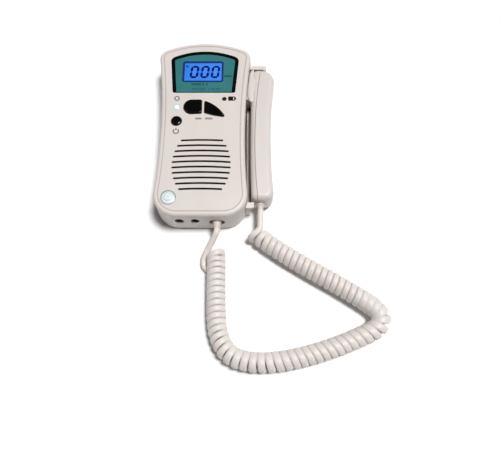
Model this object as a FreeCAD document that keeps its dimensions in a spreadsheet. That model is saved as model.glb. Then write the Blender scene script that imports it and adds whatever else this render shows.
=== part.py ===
# Handheld fetal doppler monitor: a display unit lying on its back, with a probe parked in the cradle at its
# side and a curly cord between them. Millimetres, +Z up. The front face looks up, +Y runs to the display end
# and +X to the probe. Every piece is drawn about the casing's centreline and then placed at axis_x, so that
# the origin is under the middle of casing and probe together.
import FreeCAD, Part
import math
import os
import re
import Sketcher

V = FreeCAD.Vector
SHEET = "Sizes"

# (name, value, what it is). Lengths are millimetres.
SIZES = [
    ("axis_x", -10.375, "casing centreline, from the origin"),
    ("fit_gap", 0.1, "clearance between pieces fixed to each other"),
    ("run_gap", 0.3, "clearance between pieces that move past each other"),
    # casing
    ("casing_length", 170.8, "casing, end to end"),
    ("layout_length", 170.8, "casing length that places along it are given for"),
    ("casing_height", 28.0, "table to front face"),
    ("foot_height", 1.2, "rubber foot below the back"),
    ("parting_height", 7.2, "where the two shells meet"),
    ("wall", 2.0, "shell wall"),
    ("face_thickness", 2.0, "front face"),
    ("floor_thickness", 2.0, "back"),
    ("waist_half", 35.5, "half width at the waist"),
    ("waist_y", -12.0, "where the waist is"),
    ("side_radius", 610.0, "hollow curve of the sides"),
    ("dome_radius", 87.0, "curve of the display end"),
    ("shoulder_radius", 10.0, "corner beside the display"),
    ("heel_radius", 19.0, "corner at the socket end"),
    ("display_draft", 2.6, "how far the front face stops short of the display end"),
    ("socket_draft", 1.2, "how far it stops short of the socket end"),
    ("rim_radius", 2.4, "rounded rim of the front face"),
    ("base_radius", 1.4, "rounded edge of the back"),
    ("groove_inset", 3.4, "rim groove, from the outline"),
    ("groove_width", 0.9, "rim groove"),
    ("groove_depth", 0.6, "rim groove"),
    ("lip_height", 1.5, "lip of the rear shell inside the front shell"),
    ("lip_thickness", 1.0, "the same lip"),
    # display window
    ("window_bottom", 30.3, "lower edge of the display window"),
    ("window_height", 42.2, "highest point of the window, above its lower edge"),
    ("window_low_half", 26.5, "half width at the lower edge"),
    ("window_high_half", 30.2, "half width at the top, corners not rounded"),
    ("window_radius", 65.0, "curve of the window's top"),
    ("window_corner", 4.5, "upper corners of the window"),
    ("recess_depth", 1.2, "lens recess"),
    ("ledge_width", 4.2, "ledge that carries trim and lens"),
    ("trim_width", 2.5, "black trim round the lens"),
    ("trim_end", 1.1, "rounded lower ends of the trim"),
    ("trim_proud", 0.15, "trim above the face"),
    ("lcd_x", -1.5, "middle of the LCD"),
    ("lcd_y", 51.6, "middle of the LCD"),
    ("lcd_wide", 35.2, "LCD bezel"),
    ("lcd_tall", 21.2, "LCD bezel"),
    ("lcd_corner", 1.8, "corner of the LCD bezel"),
    ("bezel_border", 1.2, "LCD bezel frame"),
    ("glass_drop", 0.4, "LCD glass below the face"),
    ("glass_thickness", 3.1, "LCD glass"),
    # circuit board and keypad
    ("board_half", 29.0, "half width of the main board"),
    ("board_gap", 6.25, "lower end of the main board, below the power button"),
    ("board_high", 10.4, "upper end of the main board, from the display end"),
    ("board_height", 19.0, "underside of the main board"),
    ("board_thickness", 1.6, "circuit boards"),
    ("chip_x", 22.5, "chips beside the LCD"),
    ("chip_wide", 9.0, "the larger chip"),
    ("chip_height", 1.4, "chips"),
    ("connector_x", 25.0, "ribbon connector on the other side"),
    ("connector_wide", 5.0, "ribbon connector"),
    ("connector_long", 8.0, "ribbon connector"),
    ("connector_height", 2.2, "ribbon connector"),
    ("mat_thickness", 1.0, "rubber keypad mat"),
    ("mat_pad_radius", 3.0, "rubber pad under a button"),
    # buttons and lights
    ("press_travel", 0.8, "how far a button goes down"),
    ("cap_proud", 1.5, "top of a button above the face"),
    ("cap_edge", 1.3, "rounded top edge of a button"),
    ("flange_reach", 0.85, "button flange beyond its cap"),
    ("flange_thickness", 1.2, "button flange"),
    ("stem_length", 0.5, "button stem below the flange"),
    ("power_x", -22.3, "power button"),
    ("power_y", 1.3, "power button"),
    ("power_radius", 4.55, "power button"),
    ("left_button_x", -9.2, "rubber pad under the left button"),
    ("right_button_x", 6.6, "rubber pad under the right button"),
    ("pair_y", 14.0, "rubber pads under the pair"),
    ("power_light_x", -22.7, "white power light"),
    ("power_light_y", 15.2, "white power light"),
    ("power_light_radius", 2.35, "white power light"),
    ("status_light_x", 17.8, "dark status light"),
    ("status_light_y", 23.3, "dark status light"),
    ("status_light_radius", 1.9, "dark status light"),
    ("light_proud", 0.4, "light lens above the face"),
    ("light_chip", 1.6, "light chip under a lens, square"),
    ("light_chip_height", 0.8, "the same chip"),
    ("badge_x", -25.2, "round badge"),
    ("badge_y", -68.8, "round badge"),
    ("badge_radius", 6.1, "round badge"),
    ("badge_recess", 0.8, "recess for the badge"),
    ("badge_proud", 1.1, "top of the badge above the face"),
    # speaker and its grille
    ("grille_y", -39.05, "middle of grille and speaker"),
    ("grille_pitch", 4.92, "slot to slot"),
    ("grille_slots", 10, "number of slots"),
    ("grille_half", 23.4, "half length of the longest slot"),
    ("grille_reach", 31.8, "half height of the oval that ends the slots"),
    ("slot_width", 1.7, "slot"),
    ("slot_radius", 300.0, "arch of a slot"),
    ("speaker_radius", 25.0, "speaker"),
    ("speaker_depth", 11.0, "speaker basket"),
    ("magnet_radius", 12.3, "speaker magnet"),
    ("magnet_depth", 7.0, "speaker magnet"),
    ("gasket_thickness", 0.8, "speaker gasket"),
    # sockets in the end wall
    ("jack_height", 17.0, "middle of the earphone jacks"),
    ("socket_height", 14.5, "middle of the probe socket"),
    ("left_jack_x", -17.05, "left earphone jack"),
    ("right_jack_x", -4.4, "right earphone jack"),
    ("jack_hole_radius", 3.6, "hole for a jack's nose"),
    ("jack_bore_radius", 1.8, "bore for an earphone plug"),
    ("jack_bore_depth", 12.0, "bore for an earphone plug"),
    ("jack_body_width", 9.0, "jack body"),
    ("jack_recess", 1.6, "jack nose behind the wall's face"),
    ("jack_setback", 1.3, "jack body behind the wall's inner side"),
    ("socket_x", 13.15, "probe socket"),
    ("socket_hole_radius", 4.1, "hole for the probe socket, its rounded ends"),
    ("socket_straight", 4.7, "hole for the probe socket, between its rounded ends"),
    ("socket_depth", 16.0, "probe socket"),
    ("socket_body_width", 12.8, "socket body"),
    ("plug_radius", 3.1, "probe plug, its rounded ends"),
    ("plug_recess", 0.9, "plug face behind the socket end"),
    ("port_board_height", 6.4, "underside of the socket board"),
    ("port_board_half", 23.0, "half width of the socket board"),
    ("port_screw_x", 21.2, "screws of the socket board"),
    ("port_screw_inset", 16.9, "screws of the socket board, from the socket end"),
    # battery compartment
    ("cell_radius", 7.1, "AA cell"),
    ("cell_length", 50.5, "AA cell"),
    ("cell_spacing", 15.0, "cell to cell"),
    ("bay_half", 15.4, "inside half width of the compartment"),
    ("bay_inset", 7.4, "upper end of the compartment, from the display end"),
    ("contact_gap", 2.3, "contact plate and spring, at each end of a cell"),
    ("plate_thickness", 0.5, "contact plates"),
    ("bay_wall", 4.2, "side wall of the compartment"),
    ("bay_roof", 0.7, "roof of the compartment"),
    ("bay_end_wall", 1.2, "upper end wall of the compartment"),
    ("door_half", 16.9, "half width of the battery door"),
    ("door_overlap", 2.7, "lower end of the battery door, below the compartment"),
    ("door_thickness", 1.7, "battery door"),
    ("runner_depth", 0.9, "tongue along each side of the door"),
    ("runner_height", 0.8, "the same tongue"),
    ("grip_start", 5.0, "first grip groove of the door, from its lower end"),
    ("grip_pitch", 2.4, "groove to groove"),
    ("grip_width", 1.0, "grip grooves"),
    # fasteners and feet
    ("screw_high_x", 33.6, "upper casing screws"),
    ("screw_high_y", 64.0, "upper casing screws"),
    ("screw_low_x", 27.0, "lower casing screws"),
    ("screw_low_y", -70.0, "lower casing screws"),
    ("boss_radius", 3.0, "casing screw boss"),
    ("screw_radius", 1.25, "casing screw"),
    ("screw_head_radius", 2.5, "casing screw"),
    ("screw_head_height", 1.7, "casing screw"),
    ("screw_length", 12.0, "casing screw, below its head"),
    ("screw_seat", 2.2, "seat of a casing screw's head, above the back"),
    ("board_boss_radius", 2.2, "board screw boss"),
    ("board_screw_radius", 0.8, "board screw"),
    ("board_screw_x", 25.3, "board screws"),
    ("board_screw_inset", 3.2, "board screws, from the ends of the main board"),
    ("foot_radius", 4.0, "rubber foot"),
    ("foot_x", 28.5, "rubber feet"),
    ("foot_high", 48.0, "upper feet"),
    ("foot_low", -55.0, "lower feet"),
    # probe
    ("probe_base", 2.3, "underside of the parked probe"),
    ("probe_height", 22.4, "probe, underside to top"),
    ("probe_low", -68.7, "cord end of the probe"),
    ("probe_high", 57.3, "sensor end of the probe"),
    ("probe_right", 57.6, "outer side at the grip"),
    ("probe_right_y", -19.0, "narrowest place of the outer side"),
    ("probe_right_radius", 520.0, "hollow curve of the outer side"),
    ("probe_left", 40.2, "inner side at the grip"),
    ("probe_left_y", -20.0, "where the inner side lies furthest in"),
    ("probe_left_radius", 1700.0, "curve of the inner side"),
    ("probe_corner", 5.2, "inner corners of the probe"),
    ("probe_heel", 7.5, "outer corner at the cord end"),
    ("probe_shoulder", 11.5, "outer corner at the sensor end"),
    ("probe_edge", 4.6, "rounded long edges"),
    ("probe_wall", 3.0, "probe shells"),
    ("seam_inset", 13.6, "seam, from the outer side"),
    ("seam_gap", 0.35, "shadow line at the seam"),
    ("sensor_y", 41.0, "middle of the sensor face"),
    ("sensor_radius", 8.4, "rounded ends of the sensor face"),
    ("sensor_straight", 8.0, "straight part of the sensor face"),
    ("collar_width", 2.6, "collar round the sensor"),
    ("collar_edge", 1.0, "rounded front edge of the collar"),
    ("crystal_radius", 7.0, "piezo crystal"),
    ("crystal_thickness", 1.5, "piezo crystal"),
    ("backing_depth", 4.6, "backing block of the crystal"),
    ("probe_board_x", 50.0, "inner face of the probe's board"),
    ("gland_x", 48.5, "cord gland of the probe"),
    ("gland_length", 5.0, "cord gland outside the shell"),
    ("gland_flange", 3.7, "radius of the gland's flange"),
    ("gland_flange_depth", 1.6, "the same flange"),
    ("gland_radius", 2.9, "sleeve of the gland at its flange"),
    ("gland_tip", 2.55, "sleeve of the gland at its end"),
    # cradle
    ("cradle_lift", 0.2, "underside of the cradle above the table"),
    ("ledge_top", 2.0, "top of the ledge under the probe"),
    ("ledge_right", 50.0, "outer edge of the ledge"),
    ("rail_left", 37.2, "rail beside the waist"),
    ("rail_right", 39.5, "rail beside the waist"),
    ("rail_high", 24.0, "upper end of the rail"),
    ("rail_top", 9.0, "top of the rail"),
    ("ledge_low", -64.0, "lower end of the ledge"),
    ("rest_low", 27.0, "rest beside the sensor"),
    ("rest_high", 43.0, "rest beside the sensor"),
    ("rest_top", 22.0, "top of that rest"),
    ("hook_low", 59.6, "underside of the hook"),
    ("hook_thickness", 3.9, "hook arm"),
    ("hook_reach", 52.3, "how far out the hook arm goes"),
    ("hook_nose", 1.0, "how far the hook's tip turns down towards the probe"),
    ("hook_top", 21.0, "top of the hook"),
    ("bracket_high", -69.1, "upper side of the bottom bracket"),
    ("bracket_depth", 4.8, "bottom bracket"),
    ("bracket_reach", 43.2, "how far out the bracket goes"),
    ("bracket_top", 18.5, "top of the bracket"),
    ("bracket_thickness", 4.5, "shelf of the bracket"),
    # cord
    ("cord_radius", 2.4, "cord"),
    ("boot_radius", 3.7, "boot at the plug"),
    ("boot_tip", 2.9, "boot at its end"),
    ("boot_groove", 0.45, "depth of its grooves"),
    ("coil_radius", 7.65, "outside of the curly stretch"),
]

# Places along the casing. They keep their share of its length when that changes.
ALONG = [
    "waist_y", "window_bottom", "lcd_y", "power_y", "pair_y", "power_light_y", "status_light_y", "badge_y",
    "grille_y", "screw_high_y", "screw_low_y", "foot_high", "foot_low", "probe_low", "probe_high",
    "probe_right_y", "probe_left_y", "sensor_y", "ledge_low", "rail_high", "rest_low", "rest_high",
    "hook_low", "bracket_high",
]

# Cord routes, from the casing's centreline and the table. The curly stretches are given by their middle line.
LEAD_TO_UNIT = [
    (13.15, -90.5, 14.5),
    (13.15, -92.8, 14.5),
    (12.0, -95.4, 13.5),
    (9.9, -98.7, 11.3),
    (7.7, -102.4, 9.0),
    (5.3, -106.3, 6.8),
    (3.1, -110.3, 4.7),
    (2.0, -114.3, 3.1),
    (2.2, -118.2, 2.5),
    (4.6, -121.4, 2.45),
    (8.6, -122.6, 2.45),
]
COIL_FROM_UNIT = [
    (12.5, -109.7, 7.7),
    (13.2, -131.0, 7.7),
    (13.3, -154.0, 7.7),
    (15.2, -174.5, 7.7),
    (23.3, -189.0, 7.7),
    (40.5, -194.6, 7.7),
    (64.0, -193.6, 7.7),
    (92.0, -187.2, 7.7),
    (120.0, -177.4, 7.7),
    (140.4, -167.9, 7.7),
    (141.0, -155.6, 7.7),
    (131.0, -149.0, 7.7),
]
COIL_TO_PROBE = [
    (131.0, -149.0, 7.7),
    (113.0, -137.12, 7.7),
    (86.0, -121.4, 7.7),
    (61.0, -105.6, 7.7),
    (45.2, -93.4, 7.7),
]
LEAD_TO_PROBE = [
    (48.2, -88.4, 13.3),
    (48.5, -81.0, 13.5),
    (48.5, -73.7, 13.5),
]


# ---------------------------------------------------------------- document and sheet

doc = FreeCAD.newDocument("fetal_doppler")


def make_sheet():
    """Fill the spreadsheet with the driving dimensions, each with an alias."""
    table = doc.addObject("Spreadsheet::Sheet", SHEET)
    for row, (name, number, note) in enumerate(SIZES, start=1):
        table.set("A%d" % row, name)
        table.set("B%d" % row, str(number))
        table.set("C%d" % row, note)
        table.setAlias("B%d" % row, name)
    doc.recompute()
    return table


sheet = make_sheet()


def stretched(text):
    """The formula with its places along the casing moved in step with the casing's length."""
    def moved(word):
        name = word.group()
        return "(%s * casing_length / layout_length)" % name if name in ALONG else name

    return re.sub(r"[a-z_]+", moved, text)


def formula(text):
    """The formula with every name pointed at the sheet."""
    return re.sub(r"[a-z_]+", lambda word: SHEET + "." + word.group(), stretched(text))


def size(text):
    """The value of a name or formula of the sheet, in millimetres."""
    return float(sheet.evalExpression(stretched(text)))


def bind(feature, **formulas):
    """Bind properties of a feature to formulas of the sheet; a double underscore stands for a dot."""
    for prop, text in formulas.items():
        feature.setExpression(prop.replace("__", "."), formula(text))


# ---------------------------------------------------------------- bodies, sketches and features

def new_body(label, x="axis_x", y="0", z="0"):
    """A body placed from the origin by three formulas."""
    body = doc.addObject("PartDesign::Body", label)
    body.Label = label
    bind(body, Placement__Base__x=x, Placement__Base__y=y, Placement__Base__z=z)
    return body


def new_sketch(body, role, offset="0"):
    """A sketch on one of the body's origin planes, moved along the plane's normal."""
    sketch = body.newObject("Sketcher::SketchObject", body.Label + "_sketch")
    plane = [item for item in body.Origin.OriginFeatures if item.Role == role][0]
    sketch.AttachmentSupport = (plane, [""])
    sketch.MapMode = "FlatFace"
    bind(sketch, AttachmentOffset__Base__z=offset)
    return sketch


def pin_point(sketch, geometry, end, x, y):
    """Dimension a point of the sketch from the sketch's origin."""
    for kind, text in (("DistanceX", x), ("DistanceY", y)):
        index = sketch.addConstraint(Sketcher.Constraint(kind, -1, 1, geometry, end, size(text)))
        sketch.setExpression("Constraints[%d]" % index, formula(text))


def add_polygon(sketch, corners):
    """A closed polygon whose corners are pairs of formulas."""
    points = [V(size(x), size(y), 0) for x, y in corners]
    lines = []
    for start, end in zip(points, points[1:] + points[:1]):
        lines.append(sketch.addGeometry(Part.LineSegment(start, end), False))
    for line, following in zip(lines, lines[1:] + lines[:1]):
        sketch.addConstraint(Sketcher.Constraint("Coincident", line, 2, following, 1))
    for line, (x, y) in zip(lines, corners):
        pin_point(sketch, line, 1, x, y)


def add_rectangle(sketch, left, right, low, high):
    """A rectangle between four formulas."""
    add_polygon(sketch, [(left, low), (right, low), (right, high), (left, high)])


def add_circle(sketch, x, y, radius):
    """A circle from three formulas."""
    circle = sketch.addGeometry(Part.Circle(V(size(x), size(y), 0), V(0, 0, 1), size(radius)), False)
    pin_point(sketch, circle, 3, x, y)
    index = sketch.addConstraint(Sketcher.Constraint("Radius", circle, size(radius)))
    sketch.setExpression("Constraints[%d]" % index, formula(radius))


def add_edges(sketch, edges):
    """A closed outline of lines and arcs, joined end to end, or a single circle."""
    ids = [sketch.addGeometry(edge, False) for edge in edges]
    if len(ids) == 1:
        return
    ends = [(sketch.getPoint(i, 1), sketch.getPoint(i, 2)) for i in ids]
    for i in range(len(ids)):
        j = (i + 1) % len(ids)
        here, there = closest_ends(ends[i], ends[j])
        sketch.addConstraint(Sketcher.Constraint("Coincident", ids[i], here, ids[j], there))


def closest_ends(ends, others):
    """Which end of one edge meets which end of the next, as sketch vertex numbers."""
    pairs = [((a - b).Length, i, j) for i, a in enumerate(ends, 1) for j, b in enumerate(others, 1)]
    return min(pairs)[1:]


def pad(body, sketch, length, back=False):
    """Add the sketch's area over a length, along the sketch's normal or against it."""
    feature = body.newObject("PartDesign::Pad", body.Label + "_pad")
    feature.Profile = sketch
    feature.Reversed = back
    bind(feature, Length=length)
    doc.recompute()
    return feature


def pocket(body, sketch, length, forward=False):
    """Cut the sketch's area over a length, against the sketch's normal unless forward is set."""
    before = body.Shape.Volume
    feature = body.newObject("PartDesign::Pocket", body.Label + "_pocket")
    feature.Profile = sketch
    feature.Reversed = forward
    bind(feature, Length=length)
    doc.recompute()
    if body.Shape.Volume >= before:
        raise RuntimeError("a pocket of " + body.Label + " cuts nothing")
    return feature


def loft(body, sketches, cut=False):
    """Add or cut the shape through parallel sketches: straight between two, smooth through more."""
    kind = "SubtractiveLoft" if cut else "AdditiveLoft"
    feature = body.newObject("PartDesign::" + kind, body.Label + "_loft")
    feature.Profile = sketches[0]
    feature.Sections = sketches[1:]
    feature.Ruled = len(sketches) == 2
    doc.recompute()
    return feature


def revolve(body, sketch, axis="V_Axis"):
    """Turn the sketch round its own vertical or horizontal axis."""
    feature = body.newObject("PartDesign::Revolution", body.Label + "_turn")
    feature.Profile = sketch
    feature.ReferenceAxis = (sketch, [axis])
    feature.Angle = 360.0
    doc.recompute()
    return feature


def fillet(body, radius, picks):
    """Round the edges of the body's present shape that picks accepts."""
    base = body.Tip
    names = ["Edge%d" % i for i, edge in enumerate(base.Shape.Edges, 1) if picks(edge)]
    feature = body.newObject("PartDesign::Fillet", body.Label + "_fillet")
    feature.Base = (base, names)
    bind(feature, Radius=radius)
    doc.recompute()
    if "Invalid" in feature.State:
        raise RuntimeError("a fillet of " + body.Label + " fails")
    return feature


def lies_at(z):
    """A test for edges that lie flat at one height of the body."""
    def test(edge):
        box = edge.BoundBox
        return abs(box.ZMin - z) < 0.01 and abs(box.ZMax - z) < 0.01
    return test


def turned_upright(label, x, y, profile):
    """A body turned round a vertical axis at x, y. The profile's corners are radius and height formulas."""
    body = new_body(label, "axis_x + " + x, y)
    sketch = new_sketch(body, "XZ_Plane")
    add_polygon(sketch, profile)
    revolve(body, sketch)
    return body


def turned_lengthwise(label, x, z, profile):
    """A body turned round a line along Y at x and z. The profile's corners are radius and y formulas."""
    body = new_body(label, "axis_x + " + x, "0", z)
    sketch = new_sketch(body, "XY_Plane")
    add_polygon(sketch, profile)
    revolve(body, sketch)
    return body


def group(label, shapes):
    """Separate solids that share one node."""
    feature = doc.addObject("Part::Feature", label)
    feature.Label = label
    feature.Shape = Part.makeCompound(shapes)
    feature.Placement = FreeCAD.Placement(V(size("axis_x"), 0, 0), FreeCAD.Rotation())
    return feature


# ---------------------------------------------------------------- outlines

def arc_about(center, start, end):
    """The shorter arc about a centre from start to end."""
    middle = (start + end) * 0.5 - center
    middle = center + middle * ((start - center).Length / middle.Length)
    return Part.Arc(start, middle, end)


def touch(center, radius, corner_center):
    """Where a circle meets a corner circle that is tangent to it."""
    direction = corner_center - center
    return center + direction * (radius / direction.Length)


def circles_meet(first, first_radius, second, second_radius):
    """The upper point where two circles cross."""
    along = second - first
    distance = along.Length
    along = along * (1.0 / distance)
    step = (first_radius ** 2 - second_radius ** 2 + distance ** 2) / (2 * distance)
    height = math.sqrt(first_radius ** 2 - step ** 2)
    across = V(-along.y, along.x, 0)
    options = [first + along * step + across * height, first + along * step - across * height]
    return max(options, key=lambda point: point.y)


def mirrored(point):
    """The point on the other side of the centreline."""
    return V(-point.x, point.y, 0)


def casing_outline(inset=0.0, rise=0.0):
    """The casing's outline in plan, moved inwards: a dome, hollow sides and rounded corners.

    Its two ends lean in towards the front face; rise runs from 0 at the parting line to 1 at the face.
    """
    display_end = size("casing_length / 2") - rise * size("display_draft")
    socket_end = rise * size("socket_draft") - size("casing_length / 2")
    dome = size("dome_radius") - inset
    side = size("side_radius") + inset
    shoulder = size("shoulder_radius") - inset
    heel = size("heel_radius") - inset
    bottom = socket_end + inset
    dome_center = V(0, display_end - size("dome_radius"), 0)
    side_center = V(size("waist_half + side_radius"), size("waist_y"), 0)
    shoulder_center = circles_meet(dome_center, dome - shoulder, side_center, side + shoulder)
    heel_y = bottom + heel
    heel_x = side_center.x - math.sqrt((side + heel) ** 2 - (heel_y - side_center.y) ** 2)
    heel_center = V(heel_x, heel_y, 0)
    on_dome = touch(dome_center, dome, shoulder_center)
    on_side = touch(side_center, side, shoulder_center)
    off_side = touch(side_center, side, heel_center)
    on_bottom = V(heel_x, bottom, 0)
    left_side = mirrored(side_center)
    return [
        arc_about(dome_center, mirrored(on_dome), on_dome),
        arc_about(shoulder_center, on_dome, on_side),
        arc_about(side_center, on_side, off_side),
        arc_about(heel_center, off_side, on_bottom),
        Part.LineSegment(on_bottom, mirrored(on_bottom)),
        arc_about(mirrored(heel_center), mirrored(on_bottom), mirrored(off_side)),
        arc_about(left_side, mirrored(off_side), mirrored(on_side)),
        arc_about(mirrored(shoulder_center), mirrored(on_side), mirrored(on_dome)),
    ]


def probe_outline(inset=0.0):
    """The probe's outline in plan, moved inwards: a hollow outer side, a faintly curved inner side."""
    right = size("probe_right_radius") + inset
    left = size("probe_left_radius") - inset
    corner = size("probe_corner") - inset
    heel = size("probe_heel") - inset
    shoulder = size("probe_shoulder") - inset
    low = size("probe_low") + inset
    high = size("probe_high") - inset
    right_center = V(size("probe_right + probe_right_radius"), size("probe_right_y"), 0)
    left_center = V(size("probe_left + probe_left_radius"), size("probe_left_y"), 0)

    def corner_center(center, reach, y):
        return V(center.x - math.sqrt(reach ** 2 - (y - center.y) ** 2), y, 0)

    top_right = corner_center(right_center, right + shoulder, high - shoulder)
    low_right = corner_center(right_center, right + heel, low + heel)
    top_left = corner_center(left_center, left - corner, high - corner)
    low_left = corner_center(left_center, left - corner, low + corner)
    return [
        Part.LineSegment(V(top_left.x, high, 0), V(top_right.x, high, 0)),
        arc_about(top_right, V(top_right.x, high, 0), touch(right_center, right, top_right)),
        arc_about(right_center, touch(right_center, right, top_right), touch(right_center, right, low_right)),
        arc_about(low_right, touch(right_center, right, low_right), V(low_right.x, low, 0)),
        Part.LineSegment(V(low_right.x, low, 0), V(low_left.x, low, 0)),
        arc_about(low_left, V(low_left.x, low, 0), touch(left_center, left, low_left)),
        arc_about(left_center, touch(left_center, left, low_left), touch(left_center, left, top_left)),
        arc_about(top_left, touch(left_center, left, top_left), V(top_left.x, high, 0)),
    ]


def edges_of(wire):
    """The wire's edges as sketch geometry, in order."""
    geometry = []
    for edge in wire.OrderedEdges:
        start = edge.valueAt(edge.FirstParameter)
        middle = edge.valueAt((edge.FirstParameter + edge.LastParameter) / 2)
        end = edge.valueAt(edge.LastParameter)
        if edge.Curve.TypeId == "Part::GeomLine":
            geometry.append(Part.LineSegment(start, end))
        else:
            geometry.append(Part.Arc(start, middle, end))
    return geometry


def rounded(edges, radius, grow=0.0):
    """An outline with its outward corners rounded, then grown or shrunk."""
    wire = Part.Wire([edge.toShape() for edge in edges])
    wire = wire.makeOffset2D(-radius).makeOffset2D(radius)
    if grow:
        wire = wire.makeOffset2D(grow)
    return edges_of(wire)


def window_outline(inset=0.0, low=None):
    """The display window: leaning sides and an arched top. low is where its lower edge lies."""
    bottom = size("window_bottom") if low is None else low
    top = size("window_bottom + window_height") - inset
    radius = size("window_radius") - inset
    lean = size("(window_high_half - window_low_half) / window_height")
    center = V(0, size("window_bottom + window_height - window_radius"), 0)
    side_inset = inset * math.sqrt(1 + lean ** 2)

    def half(y):
        return size("window_low_half") + lean * (y - size("window_bottom")) - side_inset

    # where the leaning side runs into the arched top
    y = top
    for _ in range(20):
        y = center.y + math.sqrt(radius ** 2 - half(y) ** 2)
    # the corners are rounded on an outline that runs on below the lower edge, so that it ends sharp there
    below = bottom - 3 * size("window_corner")
    high_left, high_right = V(-half(y), y, 0), V(half(y), y, 0)
    low_left, low_right = V(-half(below), below, 0), V(half(below), below, 0)
    raw = [
        Part.Arc(high_left, V(0, top, 0), high_right),
        Part.LineSegment(high_right, low_right),
        Part.LineSegment(low_right, low_left),
        Part.LineSegment(low_left, high_left),
    ]
    corner = max(size("window_corner") - inset, 0.5)
    wire = Part.Wire([edge.toShape() for edge in rounded(raw, corner)])
    length = size("casing_length")
    keep = Part.makePlane(2 * length, length, V(-length, bottom, 0))
    face = Part.Face(wire).common(keep)
    return edges_of(face.Faces[0].OuterWire)


def from_pair(x, up):
    """A point of the two middle buttons' outlines, measured up from the line that their pads lie on."""
    return V(x, size("pair_y") + up, 0)


def left_button_outline(grow=0.0):
    """A button with a round outer end and a straight side towards its neighbour."""
    high = from_pair(-9.3, 8.3)
    inner_high = from_pair(-1.3, 8.3)
    inner_low = from_pair(-1.3, -5.4)
    low = from_pair(-10.6, -5.9)
    edges = [
        Part.LineSegment(high, inner_high),
        Part.LineSegment(inner_high, inner_low),
        Part.LineSegment(inner_low, low),
        Part.Arc(low, from_pair(-17.0, 1.2), high),
    ]
    return rounded(edges, 1.4, grow)


def right_button_outline(grow=0.0):
    """A fin: a straight side towards its neighbour and a long curved back that ends in a blunt tip."""
    high = from_pair(0.8, 7.4)
    tip = from_pair(18.9, -8.7)
    low = from_pair(0.8, -4.6)
    edges = [
        Part.Arc(high, from_pair(11.3, 1.2), tip),
        Part.Arc(tip, from_pair(10.0, -7.4), low),
        Part.LineSegment(low, high),
    ]
    return rounded(edges, 1.2, grow)


def slot_outline(y, half):
    """One grille slot: two arched sides and rounded ends."""
    radius = size("slot_radius")
    width = size("slot_width")
    center = V(0, y - radius, 0)
    outer = radius + width / 2
    inner = radius - width / 2

    def at(reach, side):
        angle = side * half / radius
        return center + V(math.sin(angle), math.cos(angle), 0) * reach

    end_right = at(radius, 1) + V(width / 2, 0, 0)
    end_left = at(radius, -1) - V(width / 2, 0, 0)
    return [
        Part.Arc(at(outer, -1), center + V(0, outer, 0), at(outer, 1)),
        Part.Arc(at(outer, 1), end_right, at(inner, 1)),
        Part.Arc(at(inner, 1), center + V(0, inner, 0), at(inner, -1)),
        Part.Arc(at(inner, -1), end_left, at(outer, -1)),
    ]


def obround(y, z, radius, straight):
    """A slot shape along the first sketch axis, centred at y, z."""
    a = y - straight / 2
    b = y + straight / 2
    return [
        Part.LineSegment(V(a, z + radius, 0), V(b, z + radius, 0)),
        Part.Arc(V(b, z + radius, 0), V(b + radius, z, 0), V(b, z - radius, 0)),
        Part.LineSegment(V(b, z - radius, 0), V(a, z - radius, 0)),
        Part.Arc(V(a, z - radius, 0), V(a - radius, z, 0), V(a, z + radius, 0)),
    ]


# ---------------------------------------------------------------- casing

UNDER_FACE = "(casing_height - face_thickness)"
FLOOR_TOP = "(foot_height + floor_thickness)"
BOARD_TOP = "(board_height + board_thickness)"
END_Y = "(-casing_length / 2)"
BOARD_LOW = "(power_y - power_radius - board_gap)"
BOARD_HIGH = "(casing_length / 2 - board_high)"
CASING_SCREWS = [
    ("screw_high_x", "screw_high_y"),
    ("-screw_high_x", "screw_high_y"),
    ("screw_low_x", "screw_low_y"),
    ("-screw_low_x", "screw_low_y"),
]
BOARD_SCREWS = [
    ("board_screw_x", BOARD_HIGH + " - board_screw_inset"),
    ("-board_screw_x", BOARD_HIGH + " - board_screw_inset"),
    ("board_screw_x", BOARD_LOW + " + board_screw_inset"),
    ("-board_screw_x", BOARD_LOW + " + board_screw_inset"),
]


def outline_sketch(body, offset, *outlines):
    """A sketch parallel to the table that holds one or more closed outlines."""
    sketch = new_sketch(body, "XY_Plane", offset)
    for edges in outlines:
        add_edges(sketch, edges)
    return sketch


def circles_sketch(body, offset, centers, *radii):
    """A sketch parallel to the table with circles of each radius at each centre."""
    sketch = new_sketch(body, "XY_Plane", offset)
    for x, y in centers:
        for radius in radii:
            add_circle(sketch, x, y, radius)
    return sketch


def rise_at(level):
    """How far up the casing's leaning ends a level lies: 0 at the parting line, 1 at the front face."""
    return size("((%s) - parting_height) / (casing_height - parting_height)" % level)


def rings(body, inset, *levels):
    """Sketches of the casing's outline at some levels, all moved inwards by the same distance."""
    return [outline_sketch(body, level, casing_outline(inset, rise_at(level))) for level in levels]


def add_rim(body):
    """The rounded rim of the front face, lofted through outlines that step inwards as they rise."""
    steps = 4
    sections = []
    for k in range(steps + 1):
        turn = math.radians(90 * k / steps)
        inset = size("rim_radius") * (1 - math.cos(turn))
        sections += rings(body, inset, "casing_height - rim_radius * %g" % (1 - math.sin(turn)))
    loft(body, sections)


def make_front_shell():
    """The front half of the casing, open below, with every opening of its face and its end wall."""
    body = new_body("front_shell")
    loft(body, rings(body, 0.0, "parting_height", "casing_height - rim_radius"))
    add_rim(body)
    loft(body, rings(body, size("wall"), "parting_height", UNDER_FACE), cut=True)
    outer = size("groove_inset")
    inner = outer + size("groove_width")
    groove = outline_sketch(body, "casing_height", casing_outline(outer, 1.0), casing_outline(inner, 1.0))
    pocket(body, groove, "groove_depth")
    add_bosses(body)
    cut_face_openings(body)
    cut_grille(body)
    cut_ports(body)
    return body


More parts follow.
